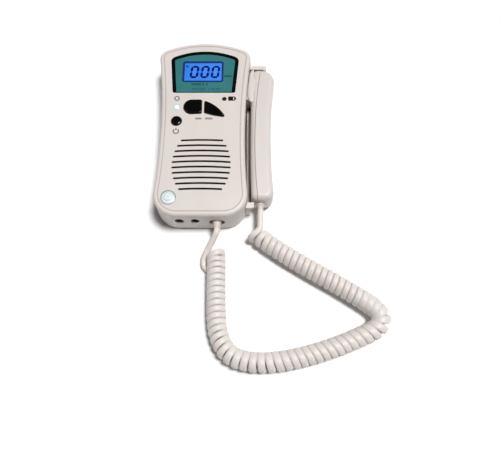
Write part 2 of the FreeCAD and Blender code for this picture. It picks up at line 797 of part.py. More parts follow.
def add_bosses(body):
    """Posts for the casing screws and the board screws, and the ring that holds the speaker."""
    posts = circles_sketch(body, "parting_height", CASING_SCREWS, "boss_radius")
    pad(body, posts, UNDER_FACE + " - parting_height")
    pilots = circles_sketch(body, "parting_height", CASING_SCREWS, "screw_radius + fit_gap / 2")
    pocket(body, pilots, "screw_length", forward=True)
    stands = circles_sketch(body, BOARD_TOP, BOARD_SCREWS, "board_boss_radius")
    pad(body, stands, UNDER_FACE + " - " + BOARD_TOP)
    holes = circles_sketch(body, BOARD_TOP, BOARD_SCREWS, "board_screw_radius + fit_gap / 2")
    pocket(body, holes, "2.5 * board_thickness", forward=True)
    inside = "speaker_radius + fit_gap"
    ring = circles_sketch(body, UNDER_FACE, [("0", "grille_y")], inside, inside + " + wall * 0.7")
    pad(body, ring, "2 * wall", back=True)


def cut_face_openings(body):
    """The lens recess and its opening, the holes for buttons and lights, and the badge's recess."""
    pocket(body, outline_sketch(body, "casing_height", window_outline()), "recess_depth")
    ledge = size("ledge_width")
    opening = window_outline(ledge, size("window_bottom") + ledge)
    pocket(body, outline_sketch(body, "casing_height", opening), "face_thickness")
    gap = size("run_gap")
    buttons = outline_sketch(body, "casing_height", left_button_outline(gap), right_button_outline(gap))
    add_circle(buttons, "power_x", "power_y", "power_radius + run_gap")
    add_circle(buttons, "power_light_x", "power_light_y", "power_light_radius + fit_gap")
    add_circle(buttons, "status_light_x", "status_light_y", "status_light_radius + fit_gap")
    pocket(body, buttons, "face_thickness")
    badge = circles_sketch(body, "casing_height", [("badge_x", "badge_y")], "badge_radius + fit_gap")
    pocket(body, badge, "badge_recess")


def cut_grille(body):
    """Arched slots whose ends follow an oval."""
    slots = int(size("grille_slots"))
    outlines = []
    for k in range(slots):
        away = (k - (slots - 1) / 2) * size("grille_pitch")
        half = size("grille_half") * math.sqrt(1 - (away / size("grille_reach")) ** 2)
        outlines.append(slot_outline(size("grille_y") - away, half))
    pocket(body, outline_sketch(body, "casing_height", *outlines), "face_thickness")


def socket_outline(radius, x="socket_x"):
    """The outline of the probe socket or of its plug, seen along the Y axis."""
    return obround(size(x), size("socket_height"), size(radius), size("socket_straight"))


def cut_ports(body):
    """Round holes in the end wall for the two jacks and the probe socket."""
    sketch = new_sketch(body, "XZ_Plane", "casing_length / 2")
    add_circle(sketch, "left_jack_x", "jack_height", "jack_hole_radius")
    add_circle(sketch, "right_jack_x", "jack_height", "jack_hole_radius")
    add_edges(sketch, socket_outline("socket_hole_radius"))
    pocket(body, sketch, "2 * wall")


def make_rear_shell():
    """The back of the casing: a tray with a lip, screw posts and the battery compartment."""
    body = new_body("rear_shell")
    pad(body, outline_sketch(body, "foot_height", casing_outline()), "parting_height - foot_height")
    fillet(body, "base_radius", lies_at(size("foot_height")))
    lip_outer = size("wall + fit_gap")
    lip_inner = lip_outer + size("lip_thickness")
    lip_rise = rise_at("parting_height + lip_height")
    tray = outline_sketch(body, "parting_height", casing_outline(lip_inner, lip_rise))
    pocket(body, tray, "parting_height - " + FLOOR_TOP)
    around = casing_outline(lip_outer, lip_rise)
    lip = outline_sketch(body, "parting_height", around, casing_outline(lip_inner, lip_rise))
    pad(body, lip, "lip_height")
    notch = new_sketch(body, "XY_Plane", "parting_height")
    right = "socket_x + socket_body_width / 2 + run_gap"
    add_rectangle(notch, "left_jack_x - jack_body_width / 2 - run_gap", right, END_Y, END_Y + " + 2 * wall")
    pocket(body, notch, "lip_height", forward=True)
    add_compartment(body)
    posts = circles_sketch(body, "foot_height", CASING_SCREWS, "boss_radius + fit_gap")
    pad(body, posts, "parting_height - foot_height - fit_gap")
    shanks = circles_sketch(body, "foot_height", CASING_SCREWS, "screw_radius + fit_gap")
    pocket(body, shanks, "parting_height", forward=True)
    heads = circles_sketch(body, "foot_height", CASING_SCREWS, "screw_head_radius + fit_gap")
    pocket(body, heads, "screw_seat", forward=True)
    stands = circles_sketch(body, FLOOR_TOP, PORT_BOARD_SCREWS, "board_boss_radius")
    pad(body, stands, "port_board_height - " + FLOOR_TOP)
    holes = circles_sketch(body, "port_board_height", PORT_BOARD_SCREWS, "board_screw_radius + fit_gap / 2")
    pocket(body, holes, "2 * board_thickness")
    return body


PORT_BOARD_SCREWS = [
    ("port_screw_x", END_Y + " + port_screw_inset"),
    ("-port_screw_x", END_Y + " + port_screw_inset"),
]
FEET = [
    ("foot_x", "foot_high"),
    ("-foot_x", "foot_high"),
    ("foot_x", "foot_low"),
    ("-foot_x", "foot_low"),
]
BAY_HIGH = "(casing_length / 2 - bay_inset)"
BAY_LOW = "(casing_length / 2 - bay_inset - cell_length - 2 * contact_gap)"
DOOR_LOW = "(casing_length / 2 - bay_inset - cell_length - 2 * contact_gap - door_overlap)"
BAY_TOP = "(foot_height + floor_thickness + 2 * cell_radius + 2 * fit_gap)"
DOOR_TOP = "(foot_height + door_thickness)"


def add_compartment(body):
    """A tub over the two cells, open below, with a slideway for its door that runs out at the display end."""
    outer = new_sketch(body, "XY_Plane", "foot_height")
    half = "(bay_half + bay_wall)"
    add_rectangle(outer, "-" + half, half, DOOR_LOW + " - wall", BAY_HIGH + " + bay_end_wall")
    pad(body, outer, BAY_TOP + " + bay_roof - foot_height")
    inner = new_sketch(body, "XY_Plane", "foot_height")
    add_rectangle(inner, "-bay_half", "bay_half", BAY_LOW, BAY_HIGH)
    pocket(body, inner, BAY_TOP + " - foot_height", forward=True)
    slideway = new_sketch(body, "XY_Plane", "foot_height")
    width = "(door_half + run_gap)"
    add_rectangle(slideway, "-" + width, width, DOOR_LOW + " - run_gap", "casing_length")
    pocket(body, slideway, "door_thickness + run_gap", forward=True)
    groove = new_sketch(body, "XY_Plane", "foot_height + (door_thickness - runner_height) / 2 - run_gap")
    reach = "(door_half + runner_depth + run_gap)"
    add_rectangle(groove, "-" + reach, reach, DOOR_LOW + " - run_gap", "casing_length")
    pocket(body, groove, "runner_height + 2 * run_gap", forward=True)


def make_battery_door():
    """The sliding door: a strip of the back that follows the casing's end, with a tongue along each side."""
    body = new_body("battery_door")
    pad(body, outline_sketch(body, "foot_height", casing_outline()), "door_thickness")
    fillet(body, "base_radius", lies_at(size("foot_height")))
    trim = new_sketch(body, "XY_Plane", DOOR_TOP)
    add_rectangle(trim, "-casing_length", "casing_length", "-casing_length", "casing_length")
    reach = "(door_half + runner_depth)"
    add_rectangle(trim, "-" + reach, reach, DOOR_LOW, "casing_length / 2 + wall")
    pocket(body, trim, "door_thickness")
    for side, low, high in (("above", "(door_thickness + runner_height) / 2", "door_thickness"),
                            ("below", "0", "(door_thickness - runner_height) / 2")):
        for left, right in (("-2 * door_half", "-door_half"), ("door_half", "2 * door_half")):
            shave = new_sketch(body, "XY_Plane", "foot_height + " + low)
            add_rectangle(shave, left, right, "0", "casing_length")
            pocket(body, shave, high + " - " + low, forward=True)
    grip = new_sketch(body, "XY_Plane", "foot_height")
    for k in range(4):
        low = DOOR_LOW + " + grip_start + %d * grip_pitch" % k
        add_rectangle(grip, "-door_half / 2", "door_half / 2", low, low + " + grip_width")
    pocket(body, grip, "door_thickness / 4", forward=True)
    return body


def make_fasteners_and_feet():
    """The casing screws, the board screws and the rubber feet, each kind in one node."""
    group("casing_screws", [screw_at(x, y) for x, y in CASING_SCREWS])
    tops = [board_screw_at(x, y, BOARD_TOP, -1) for x, y in BOARD_SCREWS]
    ports = [board_screw_at(x, y, "port_board_height", 1) for x, y in PORT_BOARD_SCREWS]
    group("board_screws", tops + ports)
    group("rubber_feet", [foot_at(x, y) for x, y in FEET])


def foot_at(x, y):
    """A rubber foot, rounded where it stands on the table."""
    foot = Part.makeCylinder(size("foot_radius"), size("foot_height"), V(size(x), size(y), 0))
    return foot.makeFillet(size("foot_height") / 3, list(filter(lies_at(0), foot.Edges)))


def screw_at(x, y):
    """A casing screw that comes in from the back, its cross slot in the head."""
    place = V(size(x), size(y), size("foot_height + screw_seat"))
    head_height = size("screw_head_height")
    head = Part.makeCylinder(size("screw_head_radius"), head_height, place - V(0, 0, head_height))
    shank = Part.makeCylinder(size("screw_radius"), size("screw_length"), place)
    length = 1.2 * size("screw_head_radius")
    slots = []
    for wide, deep in ((length, 0.6), (0.6, length)):
        corner = place - V(wide / 2, deep / 2, head_height)
        slots.append(Part.makeBox(wide, deep, head_height / 2, corner))
    return head.fuse(shank).cut(slots[0]).cut(slots[1])


def board_screw_at(x, y, seat, up):
    """A small pan-head screw that holds a board to its post; up is 1 where the head is above the board."""
    radius = size("board_screw_radius")
    thickness = size("board_thickness")
    level = size(seat) + (thickness if up > 0 else -thickness)
    head = Part.makeCylinder(2 * radius, radius, V(size(x), size(y), level), V(0, 0, up))
    shank = Part.makeCylinder(radius, 2.5 * thickness, V(size(x), size(y), level), V(0, 0, -up))
    return head.fuse(shank)


# ---------------------------------------------------------------- display

def make_window():
    """The black trim round three sides of the window, and the lens that it frames."""
    gap = size("fit_gap")
    inner = size("trim_width")
    trim = new_body("window_trim")
    # the inner outline runs out below the trim, so that the trim stays open there
    band = outline_sketch(trim, "casing_height - recess_depth", window_outline(gap))
    pad(trim, band, "recess_depth + trim_proud")
    middle = window_outline(inner, size("window_bottom - trim_width"))
    pocket(trim, outline_sketch(trim, "casing_height + trim_proud", middle), "recess_depth + trim_proud")
    end = size("window_bottom")
    fillet(trim, "trim_end", lambda edge: edge.BoundBox.YMax < end + 0.01 and edge.BoundBox.ZLength > gap)
    lens = new_body("display_lens")
    plate = window_outline(inner + gap, size("window_bottom") + gap)
    pad(lens, outline_sketch(lens, "casing_height - recess_depth", plate), "recess_depth")
    cut = outline_sketch(lens, "casing_height", lcd_outline(gap))
    pocket(lens, cut, "recess_depth")


def lcd_outline(grow=0.0):
    """The LCD bezel's outline, a rectangle with rounded corners, grown or shrunk."""
    center = V(size("lcd_x"), size("lcd_y"), 0)
    half = V(size("lcd_wide") / 2, size("lcd_tall") / 2, 0)
    corners = [center + V(sx * half.x, sy * half.y, 0) for sx, sy in ((-1, -1), (1, -1), (1, 1), (-1, 1))]
    edges = [Part.LineSegment(a, b) for a, b in zip(corners, corners[1:] + corners[:1])]
    return rounded(edges, size("lcd_corner"), grow)


def make_lcd():
    """The LCD's bezel on the main board, with the glass in it and the backlight under the glass."""
    bezel = new_body("lcd_bezel")
    border = size("bezel_border")
    ring = outline_sketch(bezel, BOARD_TOP, lcd_outline(), lcd_outline(-border))
    pad(bezel, ring, "casing_height - " + BOARD_TOP)
    inside = lcd_outline(-border - size("fit_gap"))
    glass_low = "(casing_height - glass_drop - glass_thickness)"
    glass = new_body("lcd_glass")
    pad(glass, outline_sketch(glass, glass_low, inside), "glass_thickness")
    light = new_body("backlight_panel")
    pad(light, outline_sketch(light, BOARD_TOP, inside), glass_low + " - " + BOARD_TOP)


CHIPS = [
    ("chip_x", "lcd_y + chip_wide / 2", "chip_wide", "chip_wide", "chip_height"),
    ("chip_x", "lcd_y - 1.2 * chip_wide", "0.8 * chip_wide", "0.6 * chip_wide", "chip_height"),
    ("-connector_x", "lcd_y", "connector_wide", "connector_long", "connector_height"),
]


def make_main_board():
    """The main circuit board, two chips and a ribbon connector."""
    board = new_body("main_board")
    sketch = new_sketch(board, "XY_Plane", "board_height")
    add_rectangle(sketch, "-board_half", "board_half", BOARD_LOW, BOARD_HIGH)
    for x, y in BOARD_SCREWS:
        add_circle(sketch, x, y, "board_screw_radius + fit_gap")
    pad(board, sketch, "board_thickness")
    group("board_chips", [block_at(x, y, BOARD_TOP, *extent) for x, y, *extent in CHIPS])


def block_at(x, y, base, wide, long, high):
    """A block that stands on a level, centred on x and y."""
    corner = V(size(x) - size(wide) / 2, size(y) - size(long) / 2, size(base))
    return Part.makeBox(size(wide), size(long), size(high), corner)


# ---------------------------------------------------------------- buttons and lights

MAT_TOP = "(board_height + board_thickness + mat_thickness)"
STEM_LOW = "(casing_height - face_thickness - run_gap - flange_thickness - stem_length)"
PADS = [("power_x", "power_y"), ("left_button_x", "pair_y"), ("right_button_x", "pair_y")]


def make_keypad_mat():
    """A rubber mat on the main board, with a raised pad under each button and holes for the lights."""
    body = new_body("keypad_mat")
    sheet_sketch = new_sketch(body, "XY_Plane", BOARD_TOP)
    low = BOARD_LOW + " + 3 * wall"
    high = "status_light_y + status_light_radius + 0.4 * wall"
    add_rectangle(sheet_sketch, "-board_half + wall / 2", "status_light_x + wall", low, high)
    add_circle(sheet_sketch, "power_light_x", "power_light_y", "power_light_radius + run_gap")
    add_circle(sheet_sketch, "status_light_x", "status_light_y", "status_light_radius - run_gap")
    pad(body, sheet_sketch, "mat_thickness")
    pads = circles_sketch(body, MAT_TOP, PADS, "mat_pad_radius")
    pad(body, pads, STEM_LOW + " - press_travel - fit_gap - " + MAT_TOP)


def make_button(label, outline, place):
    """A button cap in its hole, with a flange that stops it under the face and a stem over its rubber pad."""
    body = new_body(label)
    flange_low = "(casing_height - face_thickness - run_gap - flange_thickness)"
    pad(body, outline_sketch(body, flange_low, outline(size("flange_reach"))), "flange_thickness")
    cap = outline_sketch(body, flange_low, outline(0.0))
    pad(body, cap, "casing_height + cap_proud - " + flange_low)
    fillet(body, "cap_edge", lies_at(size("casing_height + cap_proud")))
    stem = circles_sketch(body, STEM_LOW, [place], "mat_pad_radius - run_gap")
    pad(body, stem, "stem_length + flange_thickness / 2")
    return body


def power_outline(grow=0.0):
    """The power button's round outline."""
    return [Part.Circle(V(size("power_x"), size("power_y"), 0), V(0, 0, 1), size("power_radius") + grow)]


def make_lights():
    """A light pipe for each light: a domed lens in the face, a collar under it and a foot over its chip."""
    chips = []
    for label, name in (("power_light_lens", "power_light"), ("status_light_lens", "status_light")):
        radius = name + "_radius"
        top = "(casing_height + light_proud)"
        turned_upright(label, name + "_x", name + "_y", [
            ("0", MAT_TOP),
            (radius + " - 3 * fit_gap", MAT_TOP),
            (radius + " - 3 * fit_gap", UNDER_FACE + " - face_thickness / 2"),
            (radius + " + 5 * fit_gap", UNDER_FACE + " - face_thickness / 2"),
            (radius + " + 5 * fit_gap", UNDER_FACE),
            (radius, UNDER_FACE),
            (radius, "casing_height"),
            (radius + " * 0.7", top + " - light_proud / 4"),
            ("0", top),
        ])
        extent = ("light_chip", "light_chip", "light_chip_height")
        chips.append(block_at(name + "_x", name + "_y", BOARD_TOP, *extent))
    group("light_chips", chips)


def make_badge():
    """A domed round badge in its recess."""
    floor = "(casing_height - badge_recess)"
    body = new_body("badge", "axis_x + badge_x", "badge_y")
    sketch = new_sketch(body, "XZ_Plane")
    low = size(floor)
    edge = size("casing_height") + size("badge_proud") / 3
    top = size("casing_height + badge_proud")
    radius = size("badge_radius")
    rise = top - edge
    dome = (radius ** 2 + rise ** 2) / (2 * rise)
    center = V(0, top - dome, 0)
    half_angle = math.asin(radius / dome) / 2
    halfway = center + V(math.sin(half_angle), math.cos(half_angle), 0) * dome
    add_edges(sketch, [
        Part.LineSegment(V(0, low, 0), V(radius, low, 0)),
        Part.LineSegment(V(radius, low, 0), V(radius, edge, 0)),
        Part.Arc(V(radius, edge, 0), halfway, V(0, top, 0)),
        Part.LineSegment(V(0, top, 0), V(0, low, 0)),
    ])
    revolve(body, sketch)


# ---------------------------------------------------------------- speaker

def make_speaker():
    """Gasket, basket, cone and magnet, turned round the speaker's axis."""
    rim_top = "(casing_height - face_thickness - gasket_thickness)"
    basket_low = "(casing_height - face_thickness - gasket_thickness - speaker_depth)"
    inner = "(speaker_radius - 1.5 * wall)"
    place = ("0", "grille_y")
    turned_upright("speaker_gasket", *place, [
        (inner, rim_top),
        ("speaker_radius", rim_top),
        ("speaker_radius", UNDER_FACE),
        (inner, UNDER_FACE),
    ])
    turned_upright("speaker_basket", *place, [
        (inner, rim_top),
        (inner, rim_top + " - wall / 2"),
        ("magnet_radius", basket_low + " + wall / 2"),
        ("magnet_radius / 2", basket_low + " + wall / 2"),
        ("magnet_radius / 2", basket_low),
        ("magnet_radius + wall / 2", basket_low),
        (inner + " + wall / 2", rim_top + " - wall / 2"),
        ("speaker_radius", rim_top + " - wall / 2"),
        ("speaker_radius", rim_top),
    ])
    turned_upright("speaker_cone", *place, [
        ("0", basket_low + " + 3 * wall"),
        ("magnet_radius / 2", basket_low + " + 1.6 * wall"),
        (inner + " - wall / 2", rim_top + " - wall / 4"),
        (inner, rim_top + " - wall / 4"),
        (inner, rim_top),
        (inner + " - wall", rim_top),
        ("magnet_radius / 2", basket_low + " + 2.1 * wall"),
        ("0", basket_low + " + 3.6 * wall"),
    ])
    turned_upright("speaker_magnet", *place, [
        ("0", basket_low + " - magnet_depth"),
        ("magnet_radius", basket_low + " - magnet_depth"),
        ("magnet_radius", basket_low),
        ("0", basket_low),
    ])


# ---------------------------------------------------------------- sockets

PORT_BOARD_TOP = "(port_board_height + board_thickness)"


def make_sockets():
    """The small board inside the end wall, with two earphone jacks and the probe socket on it."""
    board = new_body("port_board")
    sketch = new_sketch(board, "XY_Plane", "port_board_height")
    low = END_Y + " + 2 * wall"
    add_rectangle(sketch, "-port_board_half", "port_board_half", low, low + " + socket_depth")
    for x, y in PORT_BOARD_SCREWS:
        add_circle(sketch, x, y, "board_screw_radius + fit_gap")
    pad(board, sketch, "board_thickness")
    make_jack("earphone_jack_left", "left_jack_x")
    make_jack("earphone_jack_right", "right_jack_x")
    socket = new_body("probe_socket", "axis_x + socket_x")
    add_port_block(socket, "socket_body_width", "socket_height + socket_hole_radius", "socket_depth")
    nose = new_sketch(socket, "XZ_Plane", "casing_length / 2 - socket_draft")
    add_edges(nose, socket_outline("socket_hole_radius - fit_gap", "0"))
    pad(socket, nose, "2 * wall - socket_draft", back=True)
    bore = new_sketch(socket, "XZ_Plane", "casing_length / 2 - socket_draft")
    add_edges(bore, socket_outline("plug_radius + fit_gap", "0"))
    pocket(socket, bore, "socket_depth / 2 - socket_draft")


def add_port_block(body, width, top, depth):
    """The block of a jack or socket, which stands on the socket board behind the end wall."""
    block = new_sketch(body, "XY_Plane", PORT_BOARD_TOP)
    half = width + " / 2"
    add_rectangle(block, "-" + half, half, END_Y + " + wall + jack_setback", END_Y + " + " + depth)
    pad(body, block, top + " - " + PORT_BOARD_TOP)


def make_jack(label, x):
    """An earphone jack: a block on the board, a round nose in the wall's hole and a bore for the plug."""
    body = new_body(label, "axis_x + " + x)
    add_port_block(body, "jack_body_width", "jack_height + jack_body_width / 2", "wall + jack_bore_depth")
    nose = new_sketch(body, "XZ_Plane", "casing_length / 2 - jack_recess")
    add_circle(nose, "0", "jack_height", "jack_hole_radius - fit_gap")
    pad(body, nose, "2 * wall - jack_recess", back=True)
    bore = new_sketch(body, "XZ_Plane", "casing_length / 2 - jack_recess")
    add_circle(bore, "0", "jack_height", "jack_bore_radius")
    pocket(body, bore, "jack_bore_depth")
    return body


# ---------------------------------------------------------------- battery

def make_battery():
    """Two AA cells that lie opposite ways, with their contact plates and springs."""
    low = size(BAY_LOW)
    gap = size("contact_gap")
    length = size("cell_length")
    radius = size("cell_radius")
    plate = size("plate_thickness")
    height = size("foot_height + floor_thickness + cell_radius + fit_gap")
    plates = []
    springs = []
    for label, side, turned in (("battery_cell_left", -1, False), ("battery_cell_right", 1, True)):
        middle = BAY_LOW + " + contact_gap + cell_length / 2"
        body = new_body(label, "axis_x + %g * cell_spacing / 2" % side, middle,
                        "foot_height + floor_thickness + cell_radius + fit_gap")
        profile = new_sketch(body, "XY_Plane")
        way = "-" if turned else ""
        add_polygon(profile, [
            ("0", way + "(-cell_length / 2)"),
            ("cell_radius", way + "(-cell_length / 2)"),
            ("cell_radius", way + "(cell_length / 2 - cell_length / 50)"),
            ("cell_radius * 0.38", way + "(cell_length / 2 - cell_length / 50)"),
            ("cell_radius * 0.38", way + "(cell_length / 2)"),
            ("0", way + "(cell_length / 2)"),
        ])
        revolve(body, profile)
        x = side * size("cell_spacing") / 2
        spring_y = low + (gap + length if turned else 0)
        nub_y = low + (0 if turned else gap + length)
        half = 0.85 * radius
        for y in (low, low + 2 * gap + length - plate):
            plates.append(Part.makeBox(2 * half, plate, 2 * half, V(x - half, y, height - half)))
        # a bump meets the cell's nub; a conical spring meets its flat end
        bump_start = nub_y + plate if turned else nub_y
        plates.append(Part.makeCylinder(0.3 * radius, gap - plate, V(x, bump_start, height), V(0, 1, 0)))
        turns = 3
        wire = (gap - plate) / turns / 2
        spring_start = spring_y if turned else spring_y + plate
        for k in range(turns):
            across = radius * (0.7 - 0.12 * (turns - 1 - k if turned else k))
            y = spring_start + wire * (2 * k + 1)
            springs.append(Part.makeTorus(across, wire, V(x, y, height), V(0, 1, 0)))
    group("battery_contacts", plates)
    group("battery_springs", springs)


# ---------------------------------------------------------------- probe

PROBE_TOP = "(probe_base + probe_height)"
PROBE_MIDDLE = "(probe_base + probe_height / 2)"
# The sensor and its collar face the casing's hollow side, which they clear at their ends by the running gap.
SENSOR_REACH = "(sensor_y + sensor_straight / 2 + sensor_radius - waist_y)"
COLLAR_REACH = "(sensor_y + sensor_straight / 2 + sensor_radius + collar_width - waist_y)"
SENSOR_X = "(waist_half + " + SENSOR_REACH + " * " + SENSOR_REACH + " / (2 * side_radius) + run_gap)"
COLLAR_X = "(waist_half + " + COLLAR_REACH + " * " + COLLAR_REACH + " / (2 * side_radius) + run_gap)"


def seam_cutter(side, gap):
    """The area on one side of the seam, which runs parallel to the probe's outer side."""
    center = V(size("probe_right + probe_right_radius"), size("probe_right_y"), 0)
    radius = size("probe_right_radius + seam_inset") + side * gap
    low = size("probe_low") - 5
    high = size("probe_high") + 5
    far = size("probe_left") - 20 if side < 0 else size("probe_right") + 25

    def at(y):
        return V(center.x - math.sqrt(radius ** 2 - (y - center.y) ** 2), y, 0)

    return [
        arc_about(center, at(low), at(high)),
        Part.LineSegment(at(high), V(far, high, 0)),
        Part.LineSegment(V(far, high, 0), V(far, low, 0)),
        Part.LineSegment(V(far, low, 0), at(low)),
    ]


def make_probe_shell(label, side):
    """One shell of the probe: side is -1 for the inner one, which holds the sensor, 1 for the outer one."""
    body = new_body(label)
    pad(body, outline_sketch(body, "probe_base", probe_outline()), "probe_height")
    ends = (lies_at(size("probe_base")), lies_at(size(PROBE_TOP)))
    fillet(body, "probe_edge", lambda edge: ends[0](edge) or ends[1](edge))
    if side < 0:
        add_sensor_collar(body)
    gap = size("seam_gap") / 2
    pocket(body, outline_sketch(body, PROBE_TOP, seam_cutter(-side, gap)), "probe_height")
    hollow = outline_sketch(body, PROBE_TOP + " - probe_wall", probe_outline(size("probe_wall")))
    pocket(body, hollow, "probe_height - 2 * probe_wall")
    if side < 0:
        hole = new_sketch(body, "YZ_Plane", "probe_left + 2 * probe_wall")
        add_edges(hole, sensor_outline("sensor_radius + fit_gap"))
        pocket(body, hole, "probe_left + 2 * probe_wall + fit_gap - " + COLLAR_X)
    else:
        neck = new_sketch(body, "XZ_Plane", "-probe_low")
        add_circle(neck, "gland_x", PROBE_MIDDLE, "cord_radius - fit_gap")
        pocket(body, neck, "2 * probe_wall")
        add_board_posts(body)
    return body


def sensor_outline(radius):
    """The sensor's outline, seen along the X axis."""
    return obround(size("sensor_y"), size(PROBE_MIDDLE), size(radius), size("sensor_straight"))


def faces_casing(x):
    """A test for edges of a face that looks at the casing."""
    level = size(x)

    def test(edge):
        return abs(edge.BoundBox.XMax - level) < 0.01
    return test


def add_sensor_collar(body):
    """The raised collar that the sensor face sits in."""
    collar = new_sketch(body, "YZ_Plane", COLLAR_X)
    add_edges(collar, sensor_outline("sensor_radius + collar_width"))
    pad(body, collar, "probe_edge + fit_gap * 10")
    fillet(body, "collar_edge", faces_casing(COLLAR_X))


def add_board_posts(body):
    """Two posts from the outer shell that carry the probe's board."""
    posts = new_sketch(body, "YZ_Plane", "probe_board_x + board_thickness")
    add_circle(posts, "0", PROBE_MIDDLE, "board_boss_radius")
    add_circle(posts, "probe_low + 25", PROBE_MIDDLE, "board_boss_radius")
    pad(body, posts, "probe_right - probe_board_x - board_thickness - probe_wall / 2")


def make_sensor():
    """The sensor face with the crystal and its backing behind it."""
    face = new_body("sensor_face")
    front = new_sketch(face, "YZ_Plane", SENSOR_X)
    add_edges(front, sensor_outline("sensor_radius"))
    pad(face, front, "1.2 * probe_wall")
    fillet(face, "probe_wall / 3", faces_casing(SENSOR_X))
    behind = "(" + SENSOR_X + " + 1.2 * probe_wall)"
    backing = behind + " + crystal_thickness"
    for label, start, depth, radius in (
            ("piezo_crystal", behind, "crystal_thickness", "crystal_radius"),
            ("crystal_backing", backing, "backing_depth", "crystal_radius + 2 * fit_gap")):
        body = new_body(label)
        disc = new_sketch(body, "YZ_Plane", start)
        add_circle(disc, "sensor_y", PROBE_MIDDLE, radius)
        pad(body, disc, depth)
    board = new_body("probe_board")
    card = new_sketch(board, "YZ_Plane", "probe_board_x")
    low = PROBE_MIDDLE + " - (probe_height / 2 - probe_wall - 4 * fit_gap)"
    high = PROBE_MIDDLE + " + (probe_height / 2 - probe_wall - 4 * fit_gap)"
    add_rectangle(card, "probe_low + 15", "sensor_y - 1.5 * crystal_radius", low, high)
    pad(board, card, "board_thickness")


def sleeve(start, end, wide, narrow, ribs):
    """Profile corners of a ribbed sleeve that narrows along -Y, from start to end."""
    step = "((%s - %s) / %d)" % (start, end, ribs)
    corners = []
    for k in range(ribs):
        radius = "(%s + (%s - %s) * %g)" % (wide, narrow, wide, k / ribs)
        crest = "%s - %g * %s" % (start, k + 0.6, step)
        foot = "%s - %g * %s" % (start, k + 1, step)
        corners += [(radius, "%s - %g * %s" % (start, k, step)), (radius, crest)]
        corners += [(radius + " - boot_groove", crest), (radius + " - boot_groove", foot)]
    return corners


def make_gland():
    """The probe's cord gland: a neck through the shell, a flange and a ribbed sleeve."""
    root = "(probe_low + 1.2 * probe_wall)"
    flange_low = "(probe_low - gland_flange_depth)"
    low = "(probe_low - gland_length)"
    profile = [("0", root), ("cord_radius - 2 * fit_gap", root), ("cord_radius - 2 * fit_gap", "probe_low")]
    profile += [("gland_flange", "probe_low"), ("gland_flange", flange_low)]
    profile += sleeve(flange_low, low, "gland_radius", "gland_tip", 2)
    profile += [("0", low)]
    turned_lengthwise("probe_gland", "gland_x", PROBE_MIDDLE, profile)


# ---------------------------------------------------------------- cradle

def make_cradle():
    """The probe's cradle: a tab under the casing, a ledge, a rail, a rest, a hook and a bracket."""
    body = new_body("probe_cradle")
    tab = new_sketch(body, "XY_Plane", "cradle_lift")
    add_rectangle(tab, "door_half + 4 * wall", "ledge_right", "-15 * wall", "10 * wall")
    pad(body, tab, "foot_height - cradle_lift")
    ledge = new_sketch(body, "XY_Plane", "cradle_lift")
    add_rectangle(ledge, "rail_left", "ledge_right", "ledge_low", "hook_low + hook_thickness")
    pad(body, ledge, "ledge_top - cradle_lift")
    rail = new_sketch(body, "XY_Plane", "cradle_lift")
    add_rectangle(rail, "rail_left", "rail_right", "bracket_high - bracket_depth", "rail_high")
    pad(body, rail, "rail_top - cradle_lift")
    rest = new_sketch(body, "XY_Plane", "cradle_lift")
    add_rectangle(rest, "waist_half", SENSOR_X + " - run_gap", "rest_low", "rest_high")
    pad(body, rest, "rest_top - cradle_lift")
    pad(body, outline_sketch(body, "cradle_lift", hook_outline()), "hook_top - cradle_lift")
    web = new_sketch(body, "XY_Plane", "cradle_lift")
    add_rectangle(web, "rail_left - 2 * wall", "rail_right", "bracket_high - bracket_depth", "bracket_high")
    pad(body, web, "bracket_top - cradle_lift")
    shelf = new_sketch(body, "XY_Plane", "bracket_top - bracket_thickness")
    add_rectangle(shelf, "rail_left", "bracket_reach", "bracket_high - bracket_depth", "bracket_high")
    pad(body, shelf, "bracket_thickness")
    clear = outline_sketch(body, "foot_height", casing_outline(-size("fit_gap")))
    pocket(body, clear, "casing_height", forward=True)
    fillet(body, "wall / 4", lies_at(size("hook_top")))
    return body


def hook_outline():
    """The hook's arm with a rounded tip that turns down towards the probe."""
    low = size("hook_low")
    high = low + size("hook_thickness")
    reach = size("hook_reach")
    start = size("rail_left") - 2 * size("wall")
    nose = size("hook_nose")
    tip = (size("hook_thickness") + nose) / 2
    return [
        Part.LineSegment(V(start, low, 0), V(start, high, 0)),
        Part.LineSegment(V(start, high, 0), V(reach, high, 0)),
        Part.Arc(V(reach, high, 0), V(reach + tip, high - tip, 0), V(reach, high - 2 * tip, 0)),
        Part.LineSegment(V(reach, high - 2 * tip, 0), V(reach - nose, low, 0)),
        Part.LineSegment(V(reach - nose, low, 0), V(start, low, 0)),
    ]


# ---------------------------------------------------------------- cord

def make_plug():
    """The probe plug in its socket, and the ribbed boot that the cord leaves it through."""
    face = "(" + END_Y + " + plug_recess)"
    plug = new_body("probe_plug", "axis_x + socket_x")
    outline = new_sketch(plug, "XZ_Plane", "casing_length / 2 - plug_recess")
    add_edges(outline, socket_outline("plug_radius", "0"))
    pad(plug, outline, "socket_depth / 2 - plug_recess", back=True)
    end = "(%g)" % LEAD_TO_UNIT[0][1]
    profile = [("0", face)] + sleeve(face, end, "boot_radius", "boot_tip", 4) + [("0", end)]
    turned_lengthwise("plug_boot", "socket_x", "socket_height", profile)


